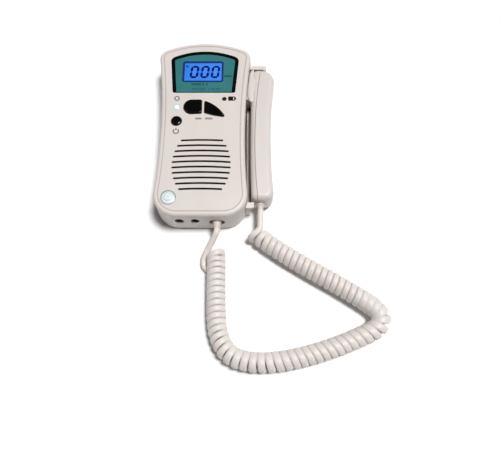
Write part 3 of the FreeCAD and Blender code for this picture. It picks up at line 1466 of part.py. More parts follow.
def route(points):
    """Straight runs joined by tangent arcs, each as large as its two runs allow, and the arcs' radii."""
    corners = [V(*point) for point in points]
    edges = []
    radii = []
    at = corners[0]
    for before, corner, after in zip(corners, corners[1:], corners[2:]):
        into = (corner - before).normalize()
        out = (after - corner).normalize()
        half_turn = into.getAngle(out) / 2
        shorter = min((corner - before).Length, (after - corner).Length)
        setback = 0.45 * shorter
        radii.append(setback / math.tan(half_turn))
        start = corner - into * setback
        end = corner + out * setback
        bisector = (out - into).normalize()
        middle = corner + bisector * (radii[-1] / math.cos(half_turn) - radii[-1])
        edges.append(Part.LineSegment(at, start).toShape())
        edges.append(Part.Arc(start, middle, end).toShape())
        at = end
    edges.append(Part.LineSegment(at, corners[-1]).toShape())
    return Part.Wire(edges), radii


def tube(label, points, radius):
    """A round tube along a route, checked against its section times its length."""
    wire, radii = route(points)
    heading = wire.Edges[0].tangentAt(wire.Edges[0].FirstParameter)
    circle = Part.Wire([Part.makeCircle(radius, V(*points[0]), heading)])
    solid = wire.makePipeShell([circle], True, False)
    expected = math.pi * radius ** 2 * wire.Length
    print("%s: %.1f mm long, radii %s, volume %.4f of section times length"
          % (label, wire.Length, ["%.1f" % r for r in radii], solid.Volume / expected))
    return solid


def make_cord():
    """The cord: a lead at each end and two curly stretches, each a plain tube of its outside."""
    cord = size("cord_radius")
    coil = size("coil_radius")
    main = tube("cord_coil_main", COIL_FROM_UNIT, coil)
    group("cord_coil_main", [main])
    probe_side = tube("cord_coil_probe", COIL_TO_PROBE, coil)
    group("cord_coil_probe", [probe_side])
    group("cord_lead_unit", tube("cord_lead_unit", LEAD_TO_UNIT, cord).cut(main).Solids)
    group("cord_lead_probe", tube("cord_lead_probe", LEAD_TO_PROBE, cord).cut(probe_side).Solids)


# ---------------------------------------------------------------- build

make_front_shell()
make_rear_shell()
make_battery_door()
make_fasteners_and_feet()
make_window()
make_lcd()
make_main_board()
make_keypad_mat()
make_button("power_button", power_outline, PADS[0])
make_button("left_button", left_button_outline, PADS[1])
make_button("right_button", right_button_outline, PADS[2])
make_lights()
make_badge()
make_speaker()
make_sockets()
make_battery()
make_probe_shell("probe_inner_shell", -1)
make_probe_shell("probe_outer_shell", 1)
make_sensor()
make_gland()
make_cradle()
make_plug()
make_cord()

doc.recompute()


def pieces():
    """The objects that are written out: every body and every group."""
    return [item for item in doc.Objects if item.TypeId in ("PartDesign::Body", "Part::Feature")]


def check_document():
    """Stop if any feature failed or any piece isn't one or more valid solids."""
    for item in doc.Objects:
        if "Invalid" in item.State or "Error" in item.State:
            raise RuntimeError("%s failed: %s" % (item.Label, item.State))
    for piece in pieces():
        shape = piece.Shape
        if shape.isNull() or not shape.isValid() or not shape.Solids:
            raise RuntimeError(piece.Label + " isn't a valid solid")


def write_parts():
    """Write each piece to parts/NODE.step."""
    os.makedirs("parts", exist_ok=True)
    for piece in pieces():
        piece.Shape.exportStep("parts/%s.step" % piece.Label)


check_document()
write_parts()
whole = FreeCAD.BoundBox()
for part in pieces():
    if not part.Label.startswith("cord"):
        whole.add(part.Shape.BoundBox)
print("%d parts, %s" % (len(pieces()), whole))
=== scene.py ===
"""Looks of a handheld fetal doppler monitor: finishes, printed marks, display digits, curly cord and studio.

The CAD parts arrive as a fixed frame in metres, with the monitor lying on its back: +X is the side that the
probe is parked on, +Y the display end and +Z up out of the front face.
"""

import logging
import math
from dataclasses import dataclass, replace
from enum import Enum
from typing import Callable, Iterable, Sequence

import bpy
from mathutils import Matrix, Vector, geometry


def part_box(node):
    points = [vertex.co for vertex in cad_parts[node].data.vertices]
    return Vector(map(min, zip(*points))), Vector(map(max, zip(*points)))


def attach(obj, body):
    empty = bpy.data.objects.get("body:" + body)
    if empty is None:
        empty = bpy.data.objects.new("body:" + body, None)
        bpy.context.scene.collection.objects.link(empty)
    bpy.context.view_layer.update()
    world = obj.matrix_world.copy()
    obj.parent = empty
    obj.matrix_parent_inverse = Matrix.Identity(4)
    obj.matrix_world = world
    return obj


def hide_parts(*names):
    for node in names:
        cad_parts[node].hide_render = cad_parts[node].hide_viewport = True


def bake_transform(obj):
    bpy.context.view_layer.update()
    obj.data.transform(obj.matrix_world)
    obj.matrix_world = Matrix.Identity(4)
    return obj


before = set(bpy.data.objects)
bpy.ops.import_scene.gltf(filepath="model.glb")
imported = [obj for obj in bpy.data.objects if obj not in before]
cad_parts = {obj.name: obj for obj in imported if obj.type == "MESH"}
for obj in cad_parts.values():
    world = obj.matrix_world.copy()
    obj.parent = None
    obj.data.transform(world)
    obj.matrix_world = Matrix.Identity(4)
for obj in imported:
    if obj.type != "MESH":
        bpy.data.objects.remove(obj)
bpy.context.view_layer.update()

log = logging.getLogger("fetal_doppler")
MM = 0.001
TOUCH = 0.02 * MM  # heights this near to each other count as one
CASING = "casing"
PROBE = "probe"
PROBE_LEAD = "cord_lead_probe"

Colour = tuple[float, float, float]
Place = tuple[float, float]
Bar = tuple[float, float, float]
Line = Sequence[Sequence[float]]
Outlines = list[list[Place]]
Faces = list[tuple[int, ...]]
Route = tuple[tuple[float, float, float], ...]
Table = Sequence[tuple[float, float]]
Socket = bpy.types.NodeSocket
Material = bpy.types.Material
Piece = bpy.types.Object


def middle(node: str) -> Vector:
    """The centre of a CAD node's box."""
    low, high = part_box(node)
    return (low + high) / 2


def crown(node: str) -> tuple[Vector, float]:
    """The middle of a round node's top, and its radius."""
    low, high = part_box(node)
    return Vector(((low.x + high.x) / 2, (low.y + high.y) / 2, high.z)), (high.x - low.x) / 2


AXIS_X = middle("front_shell").x
FACE_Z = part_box("front_shell")[1].z


# ---------------------------------------------------------------- finishes

def shaded(colour: Colour, by: float, add: float = 0.0) -> Colour:
    """A colour made lighter or darker."""
    return tuple(min(channel * by + add, 1.0) for channel in colour)


class Graph:
    """Builds one material's node tree around a Principled shader."""

    def __init__(self, name: str) -> None:
        """Start an empty material.

        Args:
            name: the material's name.
        """
        self.material = bpy.data.materials.new(name)
        self.material.use_nodes = True
        self.tree = self.material.node_tree
        self.tree.nodes.clear()
        self.shader = self.node("BsdfPrincipled", {})
        self.place = self.node("TexCoord", {}).outputs["Object"]
        self.node("OutputMaterial", {"Surface": self.shader.outputs[0]})

    def fill(self, node: bpy.types.Node, inputs: dict[str | int, object]) -> bpy.types.Node:
        """Give a node's sockets their values.

        Args:
            node: the node.
            inputs: what each socket gets: a constant, or another node's socket that is linked to it.

        Returns:
            The same node.
        """
        for socket, value in inputs.items():
            if isinstance(value, Socket):
                self.tree.links.new(value, node.inputs[socket])
            else:
                node.inputs[socket].default_value = value
        return node

    def node(self, kind: str, inputs: dict[str | int, object]) -> bpy.types.Node:
        """A new node of a kind, with its sockets filled."""
        return self.fill(self.tree.nodes.new("ShaderNode" + kind), inputs)

    def set(self, **values: object) -> None:
        """Fill the shader's sockets; an underscore in a name stands for a space."""
        self.fill(self.shader, {name.replace("_", " "): value for name, value in values.items()})

    def noise(self, scale: float, detail: float = 2.0, stretch: Sequence[float] = (1.0, 1.0, 1.0)) -> Socket:
        """A grey noise over the object's own place.

        Args:
            scale: features per metre.
            detail: octaves.
            stretch: how each axis is scaled first.

        Returns:
            The noise's factor socket.
        """
        mapping = self.node("Mapping", {"Scale": stretch, "Vector": self.place})
        texture = self.node("TexNoise", {"Scale": scale, "Detail": detail, "Vector": mapping.outputs[0]})
        return texture.outputs["Fac"]

    def ramp(self, factor: Socket, *stops: tuple[float, Colour]) -> Socket:
        """Colours along a factor.

        Args:
            factor: the factor's socket.
            stops: two positions and their colours, lowest first.

        Returns:
            The ramp's colour socket.
        """
        node = self.node("ValToRGB", {"Fac": factor})
        for element, (position, colour) in zip(node.color_ramp.elements, stops):
            element.position = position
            element.color = (*colour, 1.0)
        return node.outputs["Color"]

    def spread(self, factor: Socket, low: float, high: float, start: float = 0.0, end: float = 1.0,
               smooth: bool = False) -> Socket:
        """A value stretched from one range to another and held at its ends.

        Args:
            factor: the value's socket.
            low: what it becomes at start.
            high: what it becomes at end.
            start: where its own range starts.
            end: where its own range ends.
            smooth: whether it eases in and out.

        Returns:
            The new value's socket.
        """
        node = self.node("MapRange", {"Value": factor, "From Min": start, "From Max": end,
                                      "To Min": low, "To Max": high})
        if smooth:
            node.interpolation_type = "SMOOTHSTEP"
        return node.outputs["Result"]

    def worked(self, kind: str, operation: str, first: Socket, second: object) -> bpy.types.Node:
        """A maths node.

        Args:
            kind: its kind.
            operation: what it works out.
            first: its first value's socket.
            second: its second value, or that one's socket.

        Returns:
            The node.
        """
        node = self.node(kind, {0: first, 1: second})
        node.operation = operation
        return node

    def along(self, axis: str) -> Socket:
        """How far along an axis the object's own place lies."""
        return self.node("SeparateXYZ", {0: self.place}).outputs[axis]

    def fade(self, center: Vector, radius: float, core: float) -> Socket:
        """A value that is 1 within core of a point and falls to 0 at radius.

        Args:
            center: the point, in metres.
            radius: where the value reaches 0.
            core: how far it stays 1.

        Returns:
            The value's socket.
        """
        distance = self.worked("VectorMath", "DISTANCE", self.place, center).outputs["Value"]
        return self.spread(distance, 1.0, 0.0, core, radius, smooth=True)

    def blended(self, factor: Socket, first: Socket | Colour, second: Socket | Colour) -> Socket:
        """Two colours mixed by a factor.

        Args:
            factor: 0 shows the first colour and 1 the second.
            first: a colour or its socket.
            second: a colour or its socket.

        Returns:
            The mixed colour's socket.
        """
        node = self.node("Mix", {})
        node.data_type = "RGBA"
        inks = [ink if isinstance(ink, Socket) else (*ink, 1.0) for ink in (first, second)]
        self.fill(node, {"Factor": factor, 6: inks[0], 7: inks[1]})
        return node.outputs[2]

    def mottled(self, scale: float, detail: float, *stops: tuple[float, Colour]) -> None:
        """Mottle the base colour by a noise."""
        self.set(Base_Color=self.ramp(self.noise(scale, detail), *stops))

    def worn(self, scale: float, low: float, high: float, detail: float = 2.0) -> None:
        """Let the roughness drift between two values by a noise."""
        self.set(Roughness=self.spread(self.noise(scale, detail), low, high))

    def bump(self, height: Socket, depth: float, strength: float) -> None:
        """Raise the surface by a height map.

        Args:
            height: the map's socket.
            depth: how far 1 in the map stands up, in metres.
            strength: how much of it shows.
        """
        node = self.node("Bump", {"Strength": strength, "Distance": depth, "Height": height})
        self.set(Normal=node.outputs["Normal"])


@dataclass(frozen=True)
class Finish:
    """A finish that paints its own material."""

    name: str

    def paint(self, graph: Graph) -> None:
        """Build the finish round the shader."""
        raise NotImplementedError

    def make(self) -> Material:
        """Build the material.

        Returns:
            The finished material.
        """
        graph = Graph(self.name)
        self.paint(graph)
        return graph.material


@dataclass(frozen=True)
class Glow:
    """A patch of painted light round a lamp: a tint in a surface's colour and a faint emission."""

    center: Vector
    core: float
    radius: float
    colour: Colour
    strength: float


@dataclass(frozen=True)
class SlotShade:
    """A round field of slots whose walls get a painted shade below a depth."""

    center: Vector
    radius: float
    depth: float
    colour: Colour


@dataclass(frozen=True)
class MouldedPlastic(Finish):
    """Injection-moulded plastic with a spark-eroded grain and faint flow marks."""

    colour: Colour
    roughness: float = 0.42
    drift: float = 0.035
    # painted light round a lamp, when given
    glow: Glow | None = None
    # painted shade in a round field of slots, when given
    slot_shade: SlotShade | None = None

    def paint(self, graph: Graph) -> None:
        """Lay the flow marks, the painted glow round the lamp, the painted shade in the slots and the grain.

        Args:
            graph: the material's graph.
        """
        flow = graph.noise(34.0, 3.0, (1.0, 0.45, 1.0))
        tint = graph.ramp(flow, (0.3, shaded(self.colour, 1 - self.drift)),
                          (0.7, shaded(self.colour, 1 + self.drift)))
        # painted glow: the lamp's light is mixed into the colour and given off as a faint emission
        if self.glow:
            halo = graph.fade(self.glow.center, self.glow.radius, self.glow.core)
            tint = graph.blended(halo, tint, self.glow.colour)
            graph.set(Emission_Color=graph.blended(halo, (0.0, 0.0, 0.0), self.glow.colour),
                      Emission_Strength=self.glow.strength)
        # painted shade: the slots' walls turn dark below the face, within the field of slots
        if self.slot_shade:
            slots = self.slot_shade
            brim = slots.center.z - slots.depth
            below = graph.spread(graph.along("Z"), 1.0, 0.0, brim - slots.depth / 2, brim)
            field_of_slots = graph.fade(slots.center, slots.radius * 1.02, slots.radius)
            dark = graph.worked("Math", "MULTIPLY", field_of_slots, below).outputs[0]
            tint = graph.blended(dark, tint, slots.colour)
        graph.worn(190.0, self.roughness - 0.05, self.roughness + 0.06)
        graph.bump(graph.noise(2200.0, 3.0), 0.04 * MM, 0.5)
        graph.set(Base_Color=tint, IOR=1.49, Subsurface_Weight=0.06, Subsurface_Scale=2 * MM)


@dataclass(frozen=True)
class PolishedPlastic(Finish):
    """Hard glossy plastic with the faintest ripple and some fine wear in its gloss."""

    colour: Colour
    second: Colour
    roughness: float = 0.12
    coat: float = 0.6

    def paint(self, graph: Graph) -> None:
        """Lay two close colours, the wear, the ripple and a clear coat.

        Args:
            graph: the material's graph.
        """
        graph.mottled(60.0, 3.0, (0.35, self.colour), (0.7, self.second))
        graph.worn(420.0, self.roughness * 0.6, self.roughness * 1.7, 4.0)
        graph.bump(graph.noise(160.0), 0.05 * MM, 0.35)
        graph.set(IOR=1.5, Coat_Weight=self.coat, Coat_Roughness=0.04)


@dataclass(frozen=True)
class SoftRubber(Finish):
    """Dull rubber or foam with a fine pitted surface."""

    colour: Colour
    grain: float = 1400.0

    def paint(self, graph: Graph) -> None:
        """Lay the pits and a paler bloom.

        Args:
            graph: the material's graph.
        """
        graph.mottled(self.grain * 0.3, 4.0, (0.3, self.colour), (0.8, shaded(self.colour, 1.5, 0.01)))
        graph.worn(300.0, 0.7, 0.9)
        graph.bump(graph.noise(self.grain), 0.1 * MM, 0.6)


@dataclass(frozen=True)
class PlatedMetal(Finish):
    """Bright plated steel with drawn lines and a few dull patches."""

    colour: Colour = (0.62, 0.60, 0.57)

    def paint(self, graph: Graph) -> None:
        """Lay the patches and the drawn lines.

        Args:
            graph: the material's graph.
        """
        graph.mottled(500.0, 3.0, (0.3, shaded(self.colour, 0.7)), (0.65, self.colour))
        graph.set(Roughness=graph.spread(graph.noise(900.0, 2.0, (8.0, 1.0, 1.0)), 0.2, 0.45), Metallic=1.0)


@dataclass(frozen=True)
class CircuitBoard(Finish):
    """Green solder mask over fine copper tracks."""

    mask: Colour = (0.015, 0.12, 0.045)
    track: Colour = (0.03, 0.21, 0.08)

    def paint(self, graph: Graph) -> None:
        """Lay the mask and the tracks that stand up under it.

        Args:
            graph: the material's graph.
        """
        brick = graph.node("TexBrick", {
            "Scale": 260.0, "Mortar Size": 0.06, "Vector": graph.place, "Color1": (*self.mask, 1.0),
            "Color2": (*shaded(self.mask, 0.8), 1.0), "Mortar": (*self.track, 1.0),
        })
        graph.set(Base_Color=brick.outputs["Color"])
        graph.bump(brick.outputs["Fac"], 0.05 * MM, 0.6)
        graph.worn(300.0, 0.22, 0.4)


@dataclass(frozen=True)
class Backlit(Finish):
    """A lit liquid-crystal panel: an even glow that is a little deeper at one side, under smooth glass."""

    left: Colour
    right: Colour
    strength: float = 0.6
    cloud: Colour = (0.10, 0.24, 0.66)

    def paint(self, graph: Graph) -> None:
        """Lay the glow across the panel, with faint clouds in it.

        Args:
            graph: the material's graph.
        """
        low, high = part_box("lcd_glass")
        even = graph.blended(graph.spread(graph.along("X"), 0.0, 1.0, low.x, high.x), self.left, self.right)
        cloudy = graph.blended(graph.spread(graph.noise(90.0), 0.0, 0.25), even, self.cloud)
        graph.worn(500.0, 0.08, 0.16)
        graph.set(Base_Color=cloudy, Emission_Color=cloudy, Emission_Strength=self.strength,
                  Coat_Weight=0.15, Coat_Roughness=0.03)


@dataclass(frozen=True)
class Lamp(Finish):
    """A lit light pipe, brightest in its middle."""

    center: Vector
    radius: float
    core: Colour
    rim: Colour
    strength: float

    def paint(self, graph: Graph) -> None:
        """Lay the bright middle and the dimmer rim.

        Args:
            graph: the material's graph.
        """
        lit = graph.fade(self.center, self.radius * 0.95, self.radius * 0.3)
        shade = graph.blended(lit, self.rim, self.core)
        graph.worn(600.0, 0.15, 0.3)
        graph.set(Base_Color=shade, Emission_Color=shade, Emission_Strength=self.strength)


@dataclass(frozen=True)
class PearlEnamel(Finish):
    """A domed pearl badge: a dark rim that is partly painted shade, a bright middle and soft swirls."""

    center: Vector
    radius: float
    dark: Colour = (0.60, 0.70, 0.71)
    light: Colour = (0.77, 0.85, 0.83)
    rim: Colour = (0.20, 0.25, 0.27)

    def paint(self, graph: Graph) -> None:
        """Lay the swirls, inside a dark rim that is a little wider at the top, where it is painted shade.

        Args:
            graph: the material's graph.
        """
        centered = graph.worked("VectorMath", "SUBTRACT", graph.place, self.center)
        rings = graph.node("TexWave", {"Scale": 90.0, "Distortion": 5.0, "Detail": 2.0, "Detail Scale": 2.2,
                                       "Vector": centered.outputs[0]})
        rings.wave_type = "RINGS"
        rings.rings_direction = "Z"
        swirl = graph.ramp(rings.outputs["Fac"], (0.25, self.dark), (0.6, self.light))
        # the rim is widened at the top as painted shade
        top_shade_center = self.center - Vector((0.0, 0.05 * self.radius, 0.0))
        inside = graph.fade(top_shade_center, self.radius, self.radius * 0.74)
        graph.set(Base_Color=graph.blended(inside, self.rim, swirl), Coat_Weight=0.15, Coat_Roughness=0.2,
                  Roughness=graph.spread(rings.outputs["Fac"], 0.42, 0.32))


@dataclass(frozen=True)
class WovenCloth(Finish):
    """Black acoustic cloth behind the speaker's slots."""

    thread: Colour = (0.010, 0.008, 0.007)
    pitch: float = 0.6 * MM

    def paint(self, graph: Graph) -> None:
        """Cross two rows of threads.

        Args:
            graph: the material's graph.
        """
        rows = []
        for direction in ("X", "Y"):
            wave = graph.node("TexWave", {"Scale": 0.314 / self.pitch, "Vector": graph.place})
            wave.bands_direction = direction
            rows.append(wave.outputs["Fac"])
        weave = graph.worked("Math", "MULTIPLY", *rows).outputs[0]
        cloth = graph.ramp(weave, (0.1, self.thread), (0.9, shaded(self.thread, 2.2)))
        graph.bump(weave, 0.1 * MM, 0.8)
        graph.set(Base_Color=cloth, Roughness=0.95)


@dataclass(frozen=True)
class CordVinyl(Finish):
    """Soft cord sheath: satin vinyl, a little mottled, with a very fine grain."""

    colour: Colour
    shade: Colour

    def paint(self, graph: Graph) -> None:
        """Lay the mottle and the grain.

        Args:
            graph: the material's graph.
        """
        graph.mottled(75.0, 4.0, (0.3, self.shade), (0.65, self.colour))
        graph.worn(260.0, 0.38, 0.52, 3.0)
        graph.bump(graph.noise(1500.0, 3.0), 0.04 * MM, 0.5)
        graph.set(IOR=1.47, Subsurface_Weight=0.08, Subsurface_Scale=2 * MM)


@dataclass(frozen=True)
class Ink(Finish):
    """Screen-printed ink, slightly uneven in its cover."""

    colour: Colour
    thin: Colour
    sheen: float = 0.5

    def paint(self, graph: Graph) -> None:
        """Lay the ink's thick and thin patches.

        Args:
            graph: the material's graph.
        """
        graph.mottled(1300.0, 3.0, (0.35, self.colour), (0.75, self.thin))
        graph.worn(700.0, 0.4, 0.6)
        graph.set(Specular_IOR_Level=self.sheen)


def dress(material: Material, *nodes: str) -> None:
    """Give CAD nodes a finish.

    Args:
        material: the finish.
        nodes: the nodes that wear it.
    """
    for node in nodes:
        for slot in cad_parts[node].material_slots:
            slot.material = material
        log.info("%s wears %s", node, material.name)


# ---------------------------------------------------------------- mesh tools

def mesh_piece(name: str, points: Sequence[Sequence[float]], faces: Faces, material: Material,
               smooth: bool = False) -> Piece:
    """An object from points and faces.

    Args:
        name: the piece's name.
        points: corners in metres, in the frame.
        faces: corner numbers of each face.
        material: its finish.
        smooth: whether its faces shade into each other.

    Returns:
        The object, linked to the scene.
    """
    data = bpy.data.meshes.new(name)
    data.from_pydata([tuple(point) for point in points], [], faces)
    data.validate()
    data.polygons.foreach_set("use_smooth", [smooth] * len(data.polygons))
    data.materials.append(material)
    piece = bpy.data.objects.new(name, data)
    bpy.context.scene.collection.objects.link(piece)
    return piece


def settle(piece: Piece, body: str = CASING) -> None:
    """Let a piece ride on a body and report it.

    Args:
        piece: the piece.
        body: the body that it rides on.
    """
    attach(piece, body)
    log.info("made %s", piece.name)


def tube_faces(rings: int, sides: int, start: int = 0) -> Faces:
    """The faces of a closed tube, whose rings run anticlockwise as seen from its last one.

    Args:
        rings: how many rings.
        sides: corners of each ring.
        start: number of the first ring's first corner.

    Returns:
        The side faces and the two end faces.
    """
    faces: Faces = []
    for low in range(start, start + (rings - 1) * sides, sides):
        high = low + sides
        for k in range(sides):
            following = (k + 1) % sides
            faces.append((low + k, low + following, high + following, high + k))
    last = start + (rings - 1) * sides
    faces.append(tuple(reversed(range(start, start + sides))))
    faces.append(tuple(range(last, last + sides)))
    return faces


def prisms(name: str, outlines: Outlines, low: float, high: float, material: Material) -> None:
    """Prisms of one height in one piece, which rides on the casing.

    Args:
        name: the piece's name.
        outlines: anticlockwise corners in plan, one list per prism.
        low: height of the undersides.
        high: height of the tops.
        material: its finish.
    """
    points: list[tuple[float, float, float]] = []
    faces: Faces = []
    for outline in outlines:
        faces += tube_faces(2, len(outline), len(points))
        points += [(x, y, level) for level in (low, high) for x, y in outline]
    settle(mesh_piece(name, points, faces, material))


def between(inner: Line, outer: Line, closed: bool = True) -> Outlines:
    """The band between two anticlockwise lines of as many corners each, as quads.

    Args:
        inner: the inner line.
        outer: the outer line.
        closed: whether the lines run all round.

    Returns:
        One outline per quad.
    """
    pairs = list(zip(inner, outer))
    following = pairs[1:] + pairs[:1] if closed else pairs[1:]
    return [[(p[0], p[1]) for p in (a, b, d, c)] for (a, b), (c, d) in zip(pairs, following)]


def arc_band(center: Place, inner: float, outer: float, start: float = 0.0, end: float = 360.0,
             steps: int = 40) -> Outlines:
    """A flat ring, or a part of one, as short quads.

    Args:
        center: its middle, in millimetres about the casing's centreline.
        inner: inner radius, in millimetres.
        outer: outer radius.
        start: first angle, in degrees.
        end: last angle.
        steps: how many quads.

    Returns:
        One outline per quad.
    """
    edges = []
    for radius in (inner, outer):
        angles = [math.radians(start + (end - start) * step / steps) for step in range(steps + 1)]
        edges.append([(AXIS_X + (center[0] + radius * math.cos(angle)) * MM,
                       (center[1] + radius * math.sin(angle)) * MM) for angle in angles])
    return between(edges[0], edges[1], closed=False)


def rounded_box(center: Place, width: float, height: float, corner: float, steps: int = 6) -> list[Place]:
    """A rectangle with rounded corners.

    Args:
        center: its middle.
        width: how far it reaches along X.
        height: how far it reaches along Y.
        corner: the corners' radius.
        steps: cuts in each corner.

    Returns:
        Its outline, anticlockwise.
    """
    outline = []
    for turn, (side_x, side_y) in enumerate(((1, 1), (-1, 1), (-1, -1), (1, -1))):
        for step in range(steps + 1):
            angle = math.radians(90 * (turn + step / steps))
            outline.append((center[0] + side_x * (width / 2 - corner) + corner * math.cos(angle),
                            center[1] + side_y * (height / 2 - corner) + corner * math.sin(angle)))
    return outline


def mark(at: Place, bar: Bar, steps: int = 3) -> list[Place]:
    """A printed bar of a width, height and corner, in millimetres about the casing's centreline."""
    return rounded_box((AXIS_X + at[0] * MM, at[1] * MM), *(size * MM for size in bar), steps)


# ---------------------------------------------------------------- casing

@dataclass
class Casing:
    """The two shells, the battery compartment, the cradle and what holds them together."""

    ivory: Colour = (0.690, 0.632, 0.598)
    # the painted glow of the lit power lamp on the face round it
    lamp_glow: Colour = (0.56, 0.66, 0.68)
    glow_core: float = 2.2 * MM
    glow_radius: float = 4.8 * MM
    glow_strength: float = 0.02
    groove_depth: float = 0.6 * MM
    groove_fill: float = 0.42 * MM
    # painted shade colour for the foot of the groove round the face
    groove_shade: Colour = (0.49, 0.425, 0.395)
    # the painted shade on the walls of the speaker's slots
    slots_y: float = -39.05 * MM
    slots_reach: float = 32.6 * MM
    slots_depth: float = 0.35 * MM
    slots_painted_shade: Colour = (0.012, 0.008, 0.005)

    def plastic(self) -> Material:
        """The casing's ivory plastic, with a painted glow round the lit power lamp and painted shade in the
        speaker's slots.

        Returns:
            The material.
        """
        lamp = middle("power_light_lens")
        lamp.z = FACE_Z
        center = Vector((AXIS_X, self.slots_y, FACE_Z))
        glow = Glow(lamp, self.glow_core, self.glow_radius, self.lamp_glow, self.glow_strength)
        slots = SlotShade(center, self.slots_reach, self.slots_depth, self.slots_painted_shade)
        return MouldedPlastic("ivory_plastic_painted_glow_shade", self.ivory, glow=glow, slot_shade=slots).make()

    def groove_line(self) -> None:
        """Painted shade at the foot of the groove round the face: a thin darker strip that fills its lower
        part.
        """
        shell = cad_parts["front_shell"]
        floor_z = FACE_Z - self.groove_depth
        places = [shell.matrix_world @ vertex.co for vertex in shell.data.vertices]
        chosen = [tuple(polygon.vertices) for polygon in shell.data.polygons
                  if all(abs(places[index].z - floor_z) < TOUCH for index in polygon.vertices)]
        used = sorted({index for face in chosen for index in face})
        order = {index: k for k, index in enumerate(used)}
        count = len(used)
        points = [(places[i].x, places[i].y, floor_z + fill)
                  for fill in (self.groove_fill * 0.2, self.groove_fill) for i in used]

        def spot(corner: int) -> tuple[float, float]:
            """Where a corner lies to the micrometre, so that doubled corners count as one."""
            return round(points[corner][0] / MM, 3), round(points[corner][1] / MM, 3)

        edges: dict[frozenset, list[tuple[int, int]]] = {}
        faces: Faces = []
        for face in chosen:
            ring = [order[index] for index in face]
            faces += [tuple(count + k for k in ring), tuple(reversed(ring))]
            for a, b in zip(ring, ring[1:] + ring[:1]):
                edges.setdefault(frozenset((spot(a), spot(b))), []).append((a, b))
        faces += [(a, b, count + b, count + a) for (a, b), *others in edges.values() if not others]
        # the strip's darker ivory is painted shade
        shade = MouldedPlastic("groove_painted_shade", self.groove_shade).make()
        settle(mesh_piece("groove_line", points, faces, shade))

    def dress(self) -> None:
        """Give the shells, fasteners, feet and battery parts their finishes."""
        self.groove_line()
        dress(self.plastic(), "front_shell")
        dress(MouldedPlastic("ivory_plastic", self.ivory).make(), "rear_shell", "battery_door",
              "probe_cradle")
        dress(PlatedMetal("plated_steel").make(), "casing_screws", "board_screws", "battery_contacts",
              "battery_springs")
        dress(PolishedPlastic("cell_sleeve", (0.05, 0.06, 0.09), (0.08, 0.09, 0.13), 0.2).make(),
              "battery_cell_left", "battery_cell_right")
        dress(SoftRubber("foot_rubber", (0.05, 0.05, 0.05)).make(), "rubber_feet")


# ---------------------------------------------------------------- display

class Segment(Enum):
    """The strokes of a digit, each with its ends on a grid one unit wide and two high."""

    TOP = ((0, 2), (1, 2))
    UPPER_LEFT = ((0, 1), (0, 2))
    UPPER_RIGHT = ((1, 1), (1, 2))
    MIDDLE = ((0, 1), (1, 1))
    LOWER_LEFT = ((0, 0), (0, 1))
    LOWER_RIGHT = ((1, 0), (1, 1))
    BOTTOM = ((0, 0), (1, 0))


